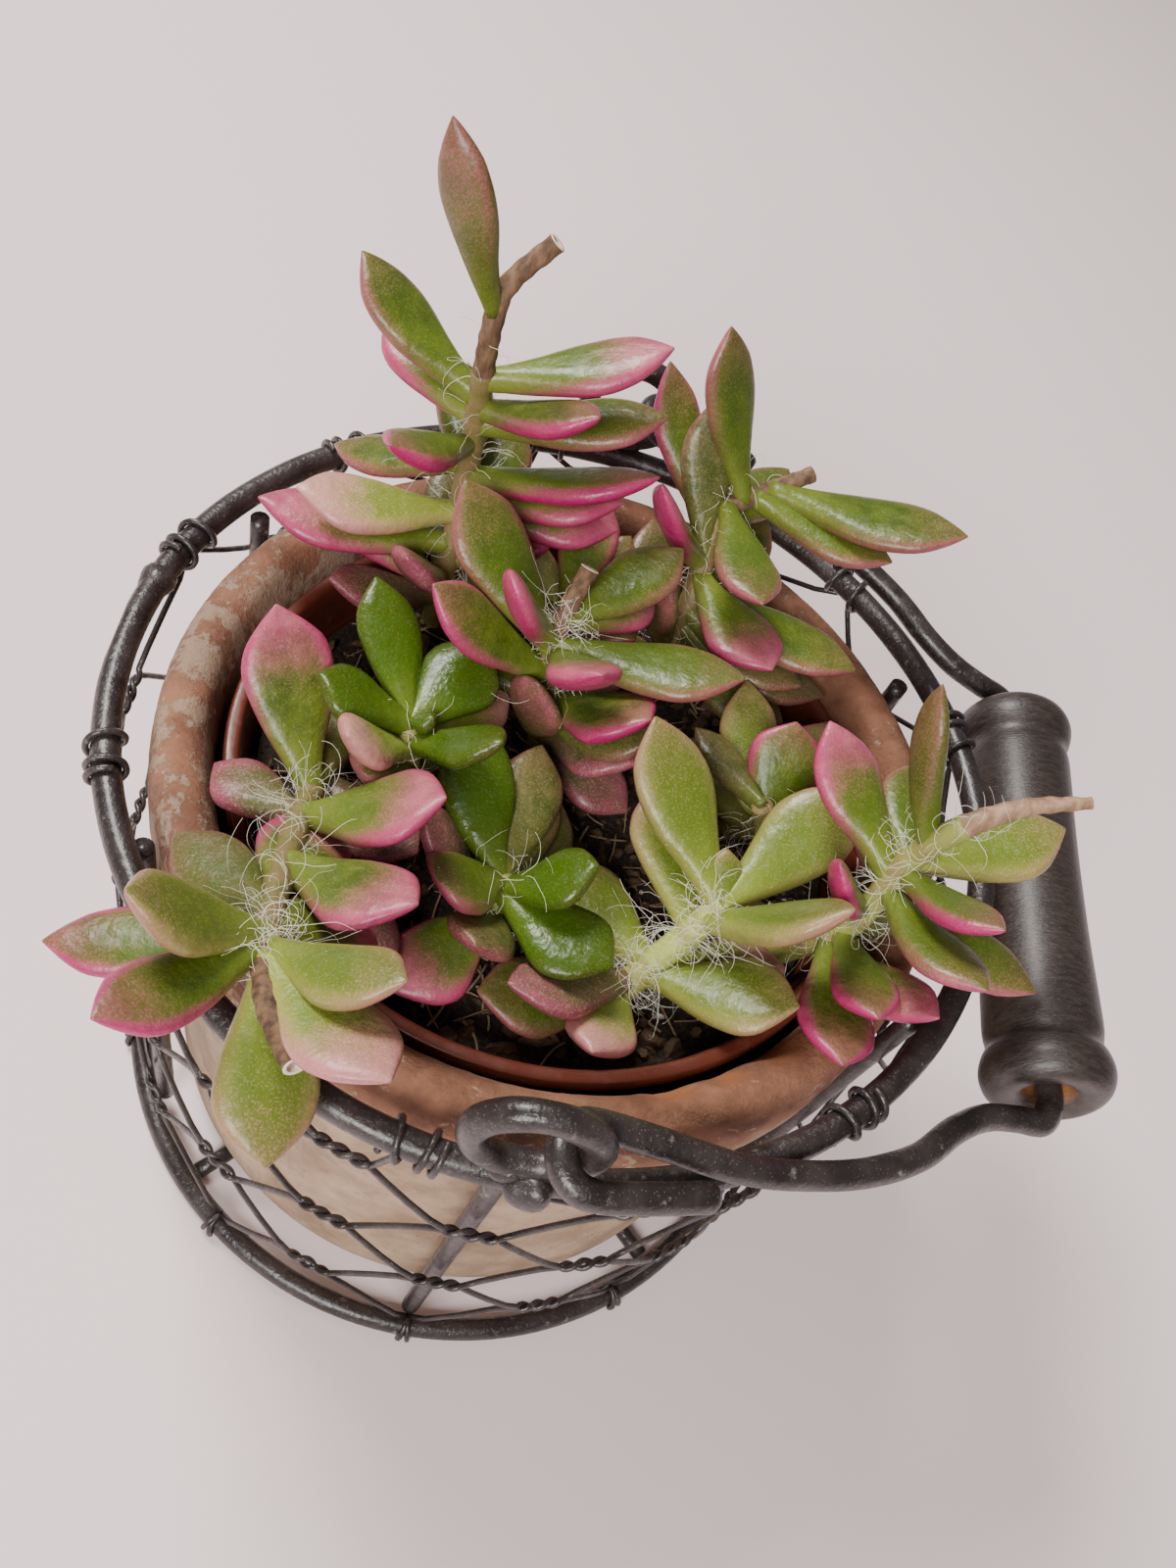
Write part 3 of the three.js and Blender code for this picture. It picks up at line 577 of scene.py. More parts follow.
# A shader is a graph of nodes: a socket is linked to another node's output, or set to a named
# colour or to a plain value
class Shader:
    def __init__(self, name):
        self.material = bpy.data.materials.new(name)
        self.material.use_nodes = True
        self.tree = self.material.node_tree
        self.bsdf = self.tree.nodes["Principled BSDF"]
        coordinate = self.tree.nodes.new("ShaderNodeTexCoord")
        scale = self.tree.nodes.new("ShaderNodeVectorMath")
        scale.operation = "SCALE"
        scale.inputs["Scale"].default_value = 1 / MM
        self.tree.links.new(coordinate.outputs["Object"], scale.inputs[0])
        self.place = scale.outputs[0]

    def put(self, socket, value):
        if isinstance(value, bpy.types.NodeSocket):
            self.tree.links.new(value, socket)
        elif isinstance(value, str):
            socket.default_value = (*PALETTE[value], 1)
        else:
            socket.default_value = value

    def node(self, kind, **inputs):
        node = self.tree.nodes.new(kind)
        for key, value in inputs.items():
            self.put(node.inputs[key.replace("_", " ")], value)
        return node

    def noise(self, size, detail=3.0, rough=0.55, stretch=None, twist=0.0):
        place = self.place
        if stretch:
            scaled = self.tree.nodes.new("ShaderNodeVectorMath")
            scaled.operation = "MULTIPLY"
            self.put(scaled.inputs[0], place)
            self.put(scaled.inputs[1], stretch)
            place = scaled.outputs[0]
        values = {"Scale": 1 / size, "Detail": detail, "Roughness": rough, "Distortion": twist}
        return self.node("ShaderNodeTexNoise", Vector=place, **values).outputs["Fac"]

    def cells(self, size):
        return self.node("ShaderNodeTexVoronoi", Vector=self.place, Scale=1 / size).outputs["Distance"]

    def math(self, operation, a, b, clamp=False):
        node = self.tree.nodes.new("ShaderNodeMath")
        node.operation = operation
        node.use_clamp = clamp
        self.put(node.inputs[0], a)
        self.put(node.inputs[1], b)
        return node.outputs[0]

    def times(self, a, b, clamp=False):
        return self.math("MULTIPLY", a, b, clamp)

    def plus(self, a, b):
        return self.math("ADD", a, b)

    def span(self, value, low=0.3, high=0.7, to_low=0.0, to_high=1.0):
        node = self.tree.nodes.new("ShaderNodeMapRange")
        node.interpolation_type = "SMOOTHSTEP"
        for i, part in enumerate((value, low, high, to_low, to_high)):
            self.put(node.inputs[i], part)
        return node.outputs["Result"]

    def mix(self, share, a, b):
        node = self.tree.nodes.new("ShaderNodeMix")
        node.data_type = "RGBA"
        self.put(node.inputs["Factor"], share)
        self.put(node.inputs[6], a)
        self.put(node.inputs[7], b)
        return node.outputs[2]

    def blend(self, share, pair):
        dark, light = PAIRS[pair]
        return self.mix(share, (*dark, 1), (*light, 1))

    def value(self, name):
        node = self.tree.nodes.new("ShaderNodeAttribute")
        node.attribute_name = name
        return node.outputs["Fac"]

    def axis(self, letter):
        node = self.tree.nodes.new("ShaderNodeSeparateXYZ")
        self.tree.links.new(self.place, node.inputs[0])
        return node.outputs[letter]

    def bump(self, height, distance, strength=1.0):
        node = self.node("ShaderNodeBump", Strength=strength, Distance=distance * MM, Height=height)
        self.tree.links.new(node.outputs[0], self.bsdf.inputs["Normal"])

    def set(self, **inputs):
        for key, value in inputs.items():
            self.put(self.bsdf.inputs[key.replace("_", " ")], value)
        return self.material


# A fleshy leaf: green, paler at its root, with pink that comes in as fine grains towards the tip
# and along the margin and covers most of the underside
def leaf_material():
    s = Shader("leaf")
    along, margin, under = (s.value(name) for name in ("along", "margin", "under"))
    rosy, magenta, pale, young, dusky = (s.value(name) for name in LOOK_NAMES)
    patches = s.noise(3.6, 3)
    grain = s.noise(0.3, 2)
    green = s.blend(s.span(patches), "green")
    green = s.mix(s.value("tint"), green, "green_tint")
    green = s.mix(s.times(pale, 0.9), green, "green_pale")
    green = s.mix(young, green, "green_young")
    rootward = s.span(along, 0.5, 0.0)
    rootward = s.times(rootward, s.plus(s.times(pale, 0.6), 0.2))
    green = s.mix(rootward, green, "leaf_root")
    rim = s.times(s.span(margin, 0.45, 1.0), s.times(pale, 0.8, clamp=True))
    green = s.mix(rim, green, "leaf_rim")
    tip = s.times(s.span(along, 0.36, 1.0, 0.0, 1.1), rosy)
    edge_share = s.plus(s.times(rosy, 0.35), s.times(magenta, 0.45))
    edge = s.times(s.span(margin, 0.6, 1.0), s.span(along, 0.08, 0.5))
    edge = s.times(edge, edge_share)
    below_share = s.plus(s.times(rosy, 0.3), s.times(magenta, 0.85))
    below = s.times(s.times(under, s.span(along, 0.0, 0.4, 0.2, 1.0)), below_share)
    blush = s.plus(s.plus(tip, edge), below)
    blush = s.plus(blush, s.times(s.span(patches, 0.3, 0.75, -0.14, 0.1), rosy))
    blush = s.plus(blush, s.span(grain, 0.3, 0.7, -0.12, 0.12))
    blush = s.span(blush, 0.05, 0.9)
    pink = s.blend(s.span(s.noise(5.0, 2), 0.35, 0.65), "pink")
    pink = s.mix(s.times(pale, 0.72), pink, "pink_pale")
    deep = s.times(s.plus(below, edge), s.plus(magenta, 0.2), clamp=True)
    pink = s.mix(deep, pink, "pink_deep")
    colour = s.mix(blush, green, pink)
    mauve = s.blend(s.span(patches), "mauve")
    colour = s.mix(s.times(dusky, 0.7), colour, mauve)
    flecks = s.plus(s.times(s.math("MAXIMUM", pale, dusky), 0.2), 0.05)
    flecks = s.times(s.span(grain, 0.5, 0.7), flecks)
    colour = s.mix(flecks, colour, "leaf_fleck")
    rough = s.span(s.noise(2.2, 3), 0.3, 0.7, 0.30, 0.46)
    rough = s.math("SUBTRACT", rough, s.times(young, 0.1))
    wave = s.plus(s.noise(2.4, 2), s.times(grain, 0.14))
    s.bump(wave, 0.35, 0.85)
    s.set(Subsurface_Weight=0.04, Subsurface_Scale=MM, Subsurface_Radius=(0.8, 1.0, 0.25))
    s.set(Specular_IOR_Level=0.4, Coat_Weight=0.1, Coat_Roughness=0.12)
    return s.set(Base_Color=colour, Roughness=rough)


def stalk_material():
    s = Shader("stalk")
    green = s.blend(s.noise(2.0, 3), "stalk")
    green = s.mix(s.value("fresh"), green, "stalk_fresh")
    colour = s.mix(s.times(s.value("scar"), 0.55), green, "stalk_scar")
    s.bump(s.noise(0.6, 4), 0.25, 0.7)
    return s.set(Base_Color=colour, Roughness=0.5, Subsurface_Weight=0.1, Subsurface_Scale=MM)


def twig_material():
    s = Shader("twig")
    fibre = s.noise(1.3, 5, stretch=(1, 1, 0.4))
    colour = s.blend(s.span(fibre), "twig")
    light = s.blend(s.span(fibre), "straw")
    colour = s.mix(s.value("straw"), colour, light)
    s.bump(fibre, 0.3, 0.8)
    return s.set(Base_Color=colour, Roughness=0.75)


def cut_material():
    s = Shader("cut_end")
    colour = s.blend(s.noise(0.6, 3), "cut")
    s.bump(s.noise(0.3, 3), 0.2, 0.6)
    return s.set(Base_Color=colour, Roughness=0.8)


def hair_material():
    s = Shader("plant_hair")
    colour = s.blend(s.noise(6, 2), "hair")
    return s.set(Base_Color=colour, Roughness=0.45)


# Dark lacquered iron: fine light specks, scuffs that show grey, and an uneven drawn surface
def iron_material(name, pair, worn):
    s = Shader(name)
    colour = s.blend(s.span(s.noise(7, 3), 0.35, 0.7), pair)
    specks = s.span(s.cells(0.6), 0.24, 0.10)
    colour = s.mix(s.times(specks, 0.3), colour, "iron_speck")
    scuff = s.span(s.noise(3.1, 6, 0.7), 0.60, 0.74, 0.0, worn)
    colour = s.mix(scuff, colour, "iron_scuff")
    rough = s.span(s.noise(2.2, 4), 0.3, 0.7, 0.30, 0.48)
    s.bump(s.plus(s.noise(2.6, 4), s.times(s.noise(0.7, 3), 0.4)), 0.5, 0.7)
    return s.set(Base_Color=colour, Roughness=rough, Coat_Weight=0.25, Coat_Roughness=0.2)


def grip_material():
    s = Shader("grip_paint")
    rings = s.noise(2.0, 3, stretch=(1, 4, 1))
    colour = s.blend(s.span(rings), "paint")
    chips = s.span(s.noise(1.3, 6, 0.75), 0.70, 0.76)
    colour = s.mix(s.times(chips, 0.8), colour, "paint_chip")
    colour = s.mix(s.value("bare"), colour, "bare_wood")
    specks = s.span(s.cells(0.8), 0.14, 0.05)
    colour = s.mix(s.times(specks, 0.35), colour, "paint_speck")
    s.bump(s.plus(s.noise(0.9, 4, stretch=(1, 3, 1)), s.times(chips, -0.8)), 0.25, 0.6)
    return s.set(Base_Color=colour, Roughness=0.42, Coat_Weight=0.25, Coat_Roughness=0.3)


# Old terracotta: red-orange on the lip, tan lower down, with lime patches, streaks and dark specks
def clay_material():
    s = Shader("terracotta")
    z = s.axis("Z")
    red = s.blend(s.span(s.noise(11, 5, 0.65), 0.35, 0.65), "lip")
    tan = s.blend(s.span(s.noise(13, 5, 0.6)), "clay")
    low = s.span(s.plus(z, s.times(s.noise(12, 3), 16)), 98, 84)
    colour = s.mix(low, red, tan)
    left = s.span(s.axis("X"), -5, -48, 0.0, 0.13)
    lime = s.span(s.plus(s.noise(8, 8, 0.72), left), 0.60, 0.66)
    limed = s.blend(s.noise(2.0, 4), "lime")
    colour = s.mix(s.times(lime, 0.6), colour, limed)
    flakes = s.span(s.noise(3.0, 5, 0.6, twist=0.6), 0.63, 0.67)
    colour = s.mix(s.times(flakes, 0.5), colour, "clay_flake")
    soot = s.times(s.span(s.noise(1.1, 6, 0.8), 0.57, 0.68), s.span(s.noise(14, 2), 0.45, 0.62))
    colour = s.mix(s.times(soot, 0.8), colour, "clay_soot")
    colour = s.mix(s.value("chipped"), colour, "clay_chip")
    grain = s.plus(s.noise(0.7, 5, 0.7), s.times(s.noise(4, 4), 0.8))
    s.bump(s.plus(grain, s.times(lime, 0.3)), 0.5, 0.8)
    return s.set(Base_Color=colour, Roughness=0.88)


def nursery_material():
    s = Shader("nursery_plastic")
    dust = s.span(s.noise(2.2, 6, 0.7), 0.55, 0.75, 0.0, 0.25)
    colour = s.mix(dust, "plastic", "plastic_dust")
    rough = s.span(s.noise(4, 4), 0.3, 0.7, 0.24, 0.42)
    s.bump(s.noise(1.5, 3), 0.08, 0.5)
    return s.set(Base_Color=colour, Roughness=rough)


def soil_material():
    s = Shader("potting_soil")
    colour = s.blend(s.span(s.noise(0.8, 6, 0.7), 0.35, 0.65), "soil")
    bits = s.span(s.cells(1.3), 0.22, 0.10)
    colour = s.mix(s.times(bits, 0.45), colour, "soil_bit")
    s.bump(s.plus(s.noise(0.7, 6, 0.75), s.times(s.noise(2.6, 4), 1.2)), 1.2, 1.0)
    return s.set(Base_Color=colour, Roughness=0.92)


def crumb_material(name, pair):
    s = Shader(name)
    colour = s.blend(s.noise(0.9, 4), pair)
    s.bump(s.noise(0.5, 5, 0.7), 0.5, 0.9)
    return s.set(Base_Color=colour, Roughness=0.9)


def make_rings(iron):
    rng = np.random.default_rng(SEED)
    rim = Soup()
    ring = tube(circle(RIM_RADIUS, RIM_Z), RIM_WIRE / 2, RING_SIDES, True, RIM_LUMPS, rng)
    rim.add_grid(keep_in("rim_ring", ring), closed=True)
    weld = polar(RIM_RADIUS, WELD_TURN, RIM_Z)
    rim.add_grid(keep_in("rim_ring", lump(weld, WELD_SIZE, rng, 0.05)))
    rim.make("rim_ring_round", [iron], replaces=["rim_ring"])
    foot = Soup()
    foot.add_grid(tube(circle(FOOT_RADIUS, FOOT_Z), FOOT_WIRE / 2, RING_SIDES, True), closed=True)
    foot.make("foot_ring_round", [iron], replaces=["foot_ring"])


def make_posts(iron):
    rng = np.random.default_rng(SEED + 1)
    for i, turn in enumerate(POST_TURNS):
        foot = polar(side_radius(POST_LOW) - POST_INSET, turn, POST_LOW)
        head = polar(side_radius(POST_HIGH) - POST_INSET, turn, POST_HIGH)
        line = np.linspace(foot, head, ROD_STEPS)
        post = Soup()
        post.add_grid(tube(line, POST_WIRE / 2, ROD_SIDES, False, POST_LUMPS, rng))
        post.make(f"post_{i + 1}_round", [iron], replaces=[f"post_{i + 1}"])
    cross = Soup()
    for turn in CROSS_TURNS:
        start = polar(CROSS_REACH, turn, CROSS_Z)
        end = polar(CROSS_REACH, turn + 180, CROSS_Z)
        cross.add_grid(tube(np.linspace(start, end, ROD_STEPS), CROSS_WIRE / 2, ROD_SIDES))
    cross.make("base_cross_round", [iron], replaces=["base_cross"])


# The stretch of one wire in a twist, wound half as a screw round the other wire
def twist_points(z, turn, side):
    half = math.degrees(TWIST_LENGTH / 2 / side_radius(RIM_Z / 2))
    found = []
    for share in np.linspace(-1, 1, TWIST_STEPS):
        phase = math.pi / 2 + math.pi * TWIST_TURNS * (side * share + 1)
        phase += 0 if side > 0 else math.pi
        rise = TWIST_RADIUS * math.sin(phase)
        out = TWIST_RADIUS * math.cos(phase)
        found.append(polar(side_radius(z) + TWIST_OUT + out, turn + side * half * share, z + rise))
    return found


# Winds round a ring's rod from the net's side, between two angles about the rod's own line
def wrap_points(radius, z, rod, turn, slip, first, last, steps):
    reach = rod / 2 + NET_WIRE / 2 + WRAP_GAP
    found = []
    for share in np.linspace(0, 1, steps):
        angle = math.radians(first + (last - first) * share)
        out = radius + reach * math.cos(angle)
        found.append(polar(out, turn + slip * share, z + reach * math.sin(angle)))
    return found


def make_netting(wire):
    rng = np.random.default_rng(SEED + 2)
    net = Soup()
    pitch = 360 / NET_COLUMNS
    for column in range(NET_COLUMNS):
        for side in (1, -1):
            number = (column + (NET_COLUMNS - 1 if side > 0 else 0)) % NET_COLUMNS
            wrap_turn = WRAP_TURNS[number] + side * WRAP_APART
            wrap_turn = wrap_turn + side * WRAP_SLIP
            last = WRAP_LAST[side]
            first = last + WRAP_WOUND[side]
            points = wrap_points(
                RIM_RADIUS, RIM_Z, RIM_WIRE, wrap_turn, -side * WRAP_SLIP, first, last, WRAP_STEPS,
            )
            for row, z in enumerate(NET_ROWS):
                turn = NET_FIRST + pitch * (column + side * row / 2)
                shake = rng.normal(size=2) * NET_SHAKE if side > 0 else np.zeros(2)
                points.extend(p + np.array([0, 0, shake[0]]) for p in twist_points(z, turn, side))
            hook_turn = NET_FIRST + pitch * (column + side * len(NET_ROWS) / 2)
            points.extend(wrap_points(
                FOOT_RADIUS, FOOT_Z, FOOT_WIRE, hook_turn, side * NET_HOOK_SLIP,
                NET_HOOK_FIRST, NET_HOOK_LAST, NET_HOOK_STEPS,
            ))
            line = curve_through(points, CENTRIPETAL, 4)
            along = np.linalg.norm(line[:, :2], axis=1)
            wanted = side_radius(line[:, 2]) - NET_INSET
            between = (line[:, 2] < RIM_Z - NET_MARGIN) & (line[:, 2] > FOOT_Z + NET_MARGIN)
            push = np.where(between & (along < wanted), wanted / along, 1.0)
            line[:, :2] *= push[:, None]
            net.add_grid(tube(line, NET_WIRE / 2, NET_SIDES))
    net.make("netting_twisted", [wire], replaces=["netting"])


def make_eye(name, side, iron, seed):
    rng = np.random.default_rng(seed)
    eye = Soup()
    angle = around(EYE_STEPS)
    across = np.full(EYE_STEPS, side * RIM_RADIUS)
    line = np.stack([EYE_MEAN * np.cos(angle), across, EYE_Z + EYE_MEAN * np.sin(angle)], axis=1)
    radius = EYE_WIRE / 2 * (1 + 0.03 * np.sin(3 * angle + seed) + 0.02 * np.sin(7 * angle))
    eye.add_grid(tube(line, radius, RING_SIDES, True), closed=True)
    for (shift, out, rise), sizes, rough, rows, sides in EYE_BEADS:
        place = (shift, side * (RIM_RADIUS + out), RIM_Z + rise)
        eye.add_grid(keep_in(name, lump(place, sizes, rng, rough, rows, sides)))
    eye.make(name + "_round", [iron], replaces=[name])


def handle_half(side):
    points = list(HOOK_END)
    for degrees in range(90, 271, 30):
        angle = math.radians(degrees)
        points.append((EYE_MEAN + HOOK_RADIUS * math.cos(angle), RIM_RADIUS + HOOK_RADIUS * math.sin(angle)))
    points.extend(HANDLE_SIDE)
    return [np.array([reach, side * across, 0.0]) for reach, across in points]


# Turns what lies flat in the handle's own plane down by its tilt and lifts it to the eyes
def tilt_handle(grid):
    angle = math.radians(HANDLE_TILT)
    turned = np.empty_like(grid)
    turned[..., 0] = grid[..., 0] * math.cos(angle) + grid[..., 2] * math.sin(angle)
    turned[..., 1] = grid[..., 1]
    turned[..., 2] = grid[..., 2] * math.cos(angle) - grid[..., 0] * math.sin(angle) + EYE_Z
    return turned


def make_handle(iron, paint):
    rng = np.random.default_rng(SEED + 5)
    route = [*handle_half(-1), np.array([GRIP_REACH, 0.0, 0.0]), *reversed(handle_half(1))]
    line = resample(curve_through(route, CENTRIPETAL, 30), HANDLE_STEPS)
    radius = np.full(len(line), HANDLE_WIRE / 2)
    for i, share in enumerate(HANDLE_ENDS):
        radius[i] = radius[-1 - i] = HANDLE_WIRE / 2 * share
    wire = Soup()
    rod = tube(line, radius, RING_SIDES, False, HANDLE_LUMPS, rng)
    wire.add_grid(keep_in("bail_wire", tilt_handle(rod)))
    wire.make("handle_wire", [iron], body="handle", replaces=["bail_wire"])
    outline = [*GRIP_SIDE, *((r, -z) for r, z in reversed(GRIP_SIDE))]
    turned = lathe(outline, GRIP_STEPS, 8)
    grid = np.stack([GRIP_REACH + turned[..., 0], turned[..., 2], -turned[..., 1]], axis=-1)
    grip = Soup()
    bare = np.clip((BARE_RADIUS - turned[0, :, 0]) / BARE_FADE, 0, 1)
    bare = np.broadcast_to(bare, turned.shape[:2])
    grip.add_grid(tilt_handle(grid), closed=True, bare=bare)
    grip.make("grip_turned", [paint], body="grip", replaces=["grip"])


def make_pots(clay, plastic):
    rng = np.random.default_rng(SEED + 6)
    grid = lathe(CLAY_PROFILE, CLAY_STEPS, 8)
    angle = np.arctan2(grid[..., 1], grid[..., 0])
    z = grid[..., 2]
    radius = np.hypot(grid[..., 0], grid[..., 1])
    lip = np.clip((z - LIP_Z) / LIP_FADE, 0, 1)
    swell = np.zeros_like(z)
    for wave in (2, 3, 5, 9, 14):
        swell += np.sin(wave * angle + 6 * rng.random() + 0.05 * z) * 0.1 / math.sqrt(wave)
    dents = np.zeros_like(z)
    for wave in (23, 37, 61, 90):
        dents += np.sin(wave * angle + 6 * rng.random() + 0.4 * z) * 0.025
    inward = -(np.abs(swell) + np.abs(dents)) * (0.5 + lip)
    chipped = np.zeros_like(z)
    for turn, width, depth in CLAY_CHIPS:
        away = np.degrees(np.abs(np.angle(np.exp(1j * (angle - math.radians(turn))))))
        edge = np.exp(-((radius - CHIP_RADIUS) / CHIP_REACH) ** 2) * (z > CHIP_Z)
        bite = np.exp(-((away / width) ** 4)) * edge
        chipped = np.maximum(chipped, bite)
        grid[..., 2] -= bite * depth
    scale = 1 + inward / np.maximum(radius, 1)
    grid[..., 0] *= scale
    grid[..., 1] *= scale
    pot = Soup()
    front = (angle < 0) * (angle > math.radians(-80))
    pot.add_grid(grid, closed=True, chipped=chipped * front * 0.8)
    pot.make("clay_pot_worn", [clay], replaces=["clay_pot"])
    liner = Soup()
    liner.add_grid(lathe(NURSERY_PROFILE, NURSERY_STEPS, 6), closed=True)
    liner.make("nursery_pot_rolled", [plastic], replaces=["nursery_pot"])


def soil_height(x, y):
    rough = 0.7 * np.sin(x / 4.1 + 0.6) * np.cos(y / 3.3)
    rough += 0.35 * np.sin(x / 1.7 + 1.1 * np.sin(y / 2.3)) * np.cos(y / 1.4 + 0.5)
    return SOIL_Z + rough + 0.16 * np.sin(x * 2.9 + y * 1.7) * np.sin(y * 2.3 - x)


def make_soil(earth, bark, perlite, fibre):
    rng = np.random.default_rng(SEED + 7)
    radii = np.concatenate([[0.3], np.linspace(1.2, SOIL_RADIUS, SOIL_ROWS)])
    angle = around(SOIL_STEPS)
    grid = np.empty((len(radii) + 1, SOIL_STEPS, 3))
    grid[:-1, :, 0] = radii[:, None] * np.cos(angle)
    grid[:-1, :, 1] = radii[:, None] * np.sin(angle)
    grid[:-1, :, 2] = soil_height(grid[:-1, :, 0], grid[:-1, :, 1])
    grid[-1, :, 0] = SOIL_FOOT * np.cos(angle)
    grid[-1, :, 1] = SOIL_FOOT * np.sin(angle)
    grid[-1, :, 2] = SOIL_LOW
    soil = Soup()
    soil.add_grid(grid[::-1])
    soil.make("soil_loose", [earth], replaces=["soil"])
    crumbs = Soup()
    for number in range(CRUMB_COUNT):
        reach = (SOIL_RADIUS - 1.2) * math.sqrt(rng.random())
        turn = 2 * math.pi * rng.random()
        x = reach * math.cos(turn)
        y = reach * math.sin(turn)
        size = 0.35 + 1.1 * rng.random() ** 2
        slot = PERLITE if number % PERLITE_EVERY == 0 else BARK
        sizes = size * (0.6 + 0.9 * rng.random(3))
        z = float(soil_height(x, y)) + 0.15 * size
        crumbs.add_grid(lump((x, y, z), sizes, rng, 0.22, 5, 7), slot)
    crumbs.make("soil_crumbs", [bark, perlite], smooth=False)
    strands = Soup()
    for _ in range(FIBRE_COUNT):
        reach = (SOIL_RADIUS - 4) * math.sqrt(rng.random())
        turn = 2 * math.pi * rng.random()
        start = np.array([reach * math.cos(turn), reach * math.sin(turn), 0])
        way = unit(np.array([rng.normal(), rng.normal(), 0]))
        bend = np.array([-way[1], way[0], 0]) * rng.normal() * 1.2
        long = 2 + 5.5 * rng.random()
        points = [start + way * long * t + bend * t * t for t in (0, 0.33, 0.66, 1)]
        for p in points:
            p[:2] *= min(1, (SOIL_RADIUS - 0.8) / max(np.hypot(p[0], p[1]), 1))
            p[2] = float(soil_height(p[0], p[1])) + 0.25 + 0.3 * rng.random()
        line = curve_through(points, CENTRIPETAL, 4)
        strands.add_grid(tube(line, 0.09 + 0.16 * rng.random(), 5))
    strands.make("soil_fibres", [fibre])


# One fleshy leaf as a grid of points round its middle line, from its root on the stem's axis
def leaf_grid(root, leaf, rng):
    turn, lift, length, width, roll, blunt = (*leaf[1:], 0, False)[:6]
    widths = BLUNT_WIDTHS if blunt else LEAF_WIDTHS
    a, b, c = (math.radians(v) for v in (turn, lift, roll))
    along = np.array([math.cos(a) * math.cos(b), math.sin(a) * math.cos(b), math.sin(b)])
    up = unit(np.array([0, 0, 1.0]) - along * along[2])
    up = up * math.cos(c) + np.cross(along, up) * math.sin(c)
    across = np.cross(along, up)
    t = 1 - (1 - np.linspace(0, 1, LEAF_ROWS)) ** LEAF_CROWDING
    row = t[:, None]
    wide = np.interp(t, *smooth_profile(LEAF_STEPS, widths))[:, None]
    high = np.interp(t, *smooth_profile(LEAF_STEPS, LEAF_HEIGHTS))[:, None]
    angle = around(LEAF_SIDES)
    side = np.cos(angle)
    face = np.sin(angle)
    lens = np.sign(face) * np.abs(face) ** LEAF_LENS
    share = np.where(face > 0, LEAF_UPPER, LEAF_LOWER)
    lopsided = 1 + LEAF_LOPSIDED * rng.normal() * side
    waves = 1 + LEAF_WAVE * np.sin(2 * math.pi * (2.3 * row + rng.random()) + 2 * np.sign(side))
    x = side * (width / 2) * wide * lopsided * waves
    thick = LEAF_THICK * min(1, 0.45 + width / 20)
    z = lens * share * thick * high
    trough = LEAF_TROUGH * np.exp(-((side / TROUGH_WIDTH) ** 2)) * np.clip(face, 0, 1)
    z -= trough * thick * 0.5 * np.sin(math.pi * row) ** 0.7
    z += LEAF_CUP * width * (side ** 2) * np.sin(math.pi * row)
    sway = LEAF_SWAY * rng.normal() * np.sin(math.pi * t)
    spin = (math.radians(LEAF_SPIN * rng.normal()) * t)[:, None]
    middle = root + np.outer(t * length, along)
    middle -= np.outer(LEAF_SAG * length * 4 * t * (1 - t), up)
    middle += np.outer(sway, across)
    turned_x = x * np.cos(spin) - z * np.sin(spin)
    turned_z = x * np.sin(spin) + z * np.cos(spin)
    grid = middle[:, None] + turned_x[..., None] * across + turned_z[..., None] * up
    margin = np.broadcast_to(np.abs(side), (LEAF_ROWS, LEAF_SIDES))
    under = np.broadcast_to(np.clip(0.1 - 1.6 * face, 0, 1), (LEAF_ROWS, LEAF_SIDES))
    return grid, t, margin, under


# A curve of values over shares of the leaf's length
def smooth_profile(steps, values):
    points = [np.array([s, v, 0.0]) for s, v in zip(steps, values)]
    line = curve_through(points, CENTRIPETAL, 6)
    return line[:, 0], line[:, 1]


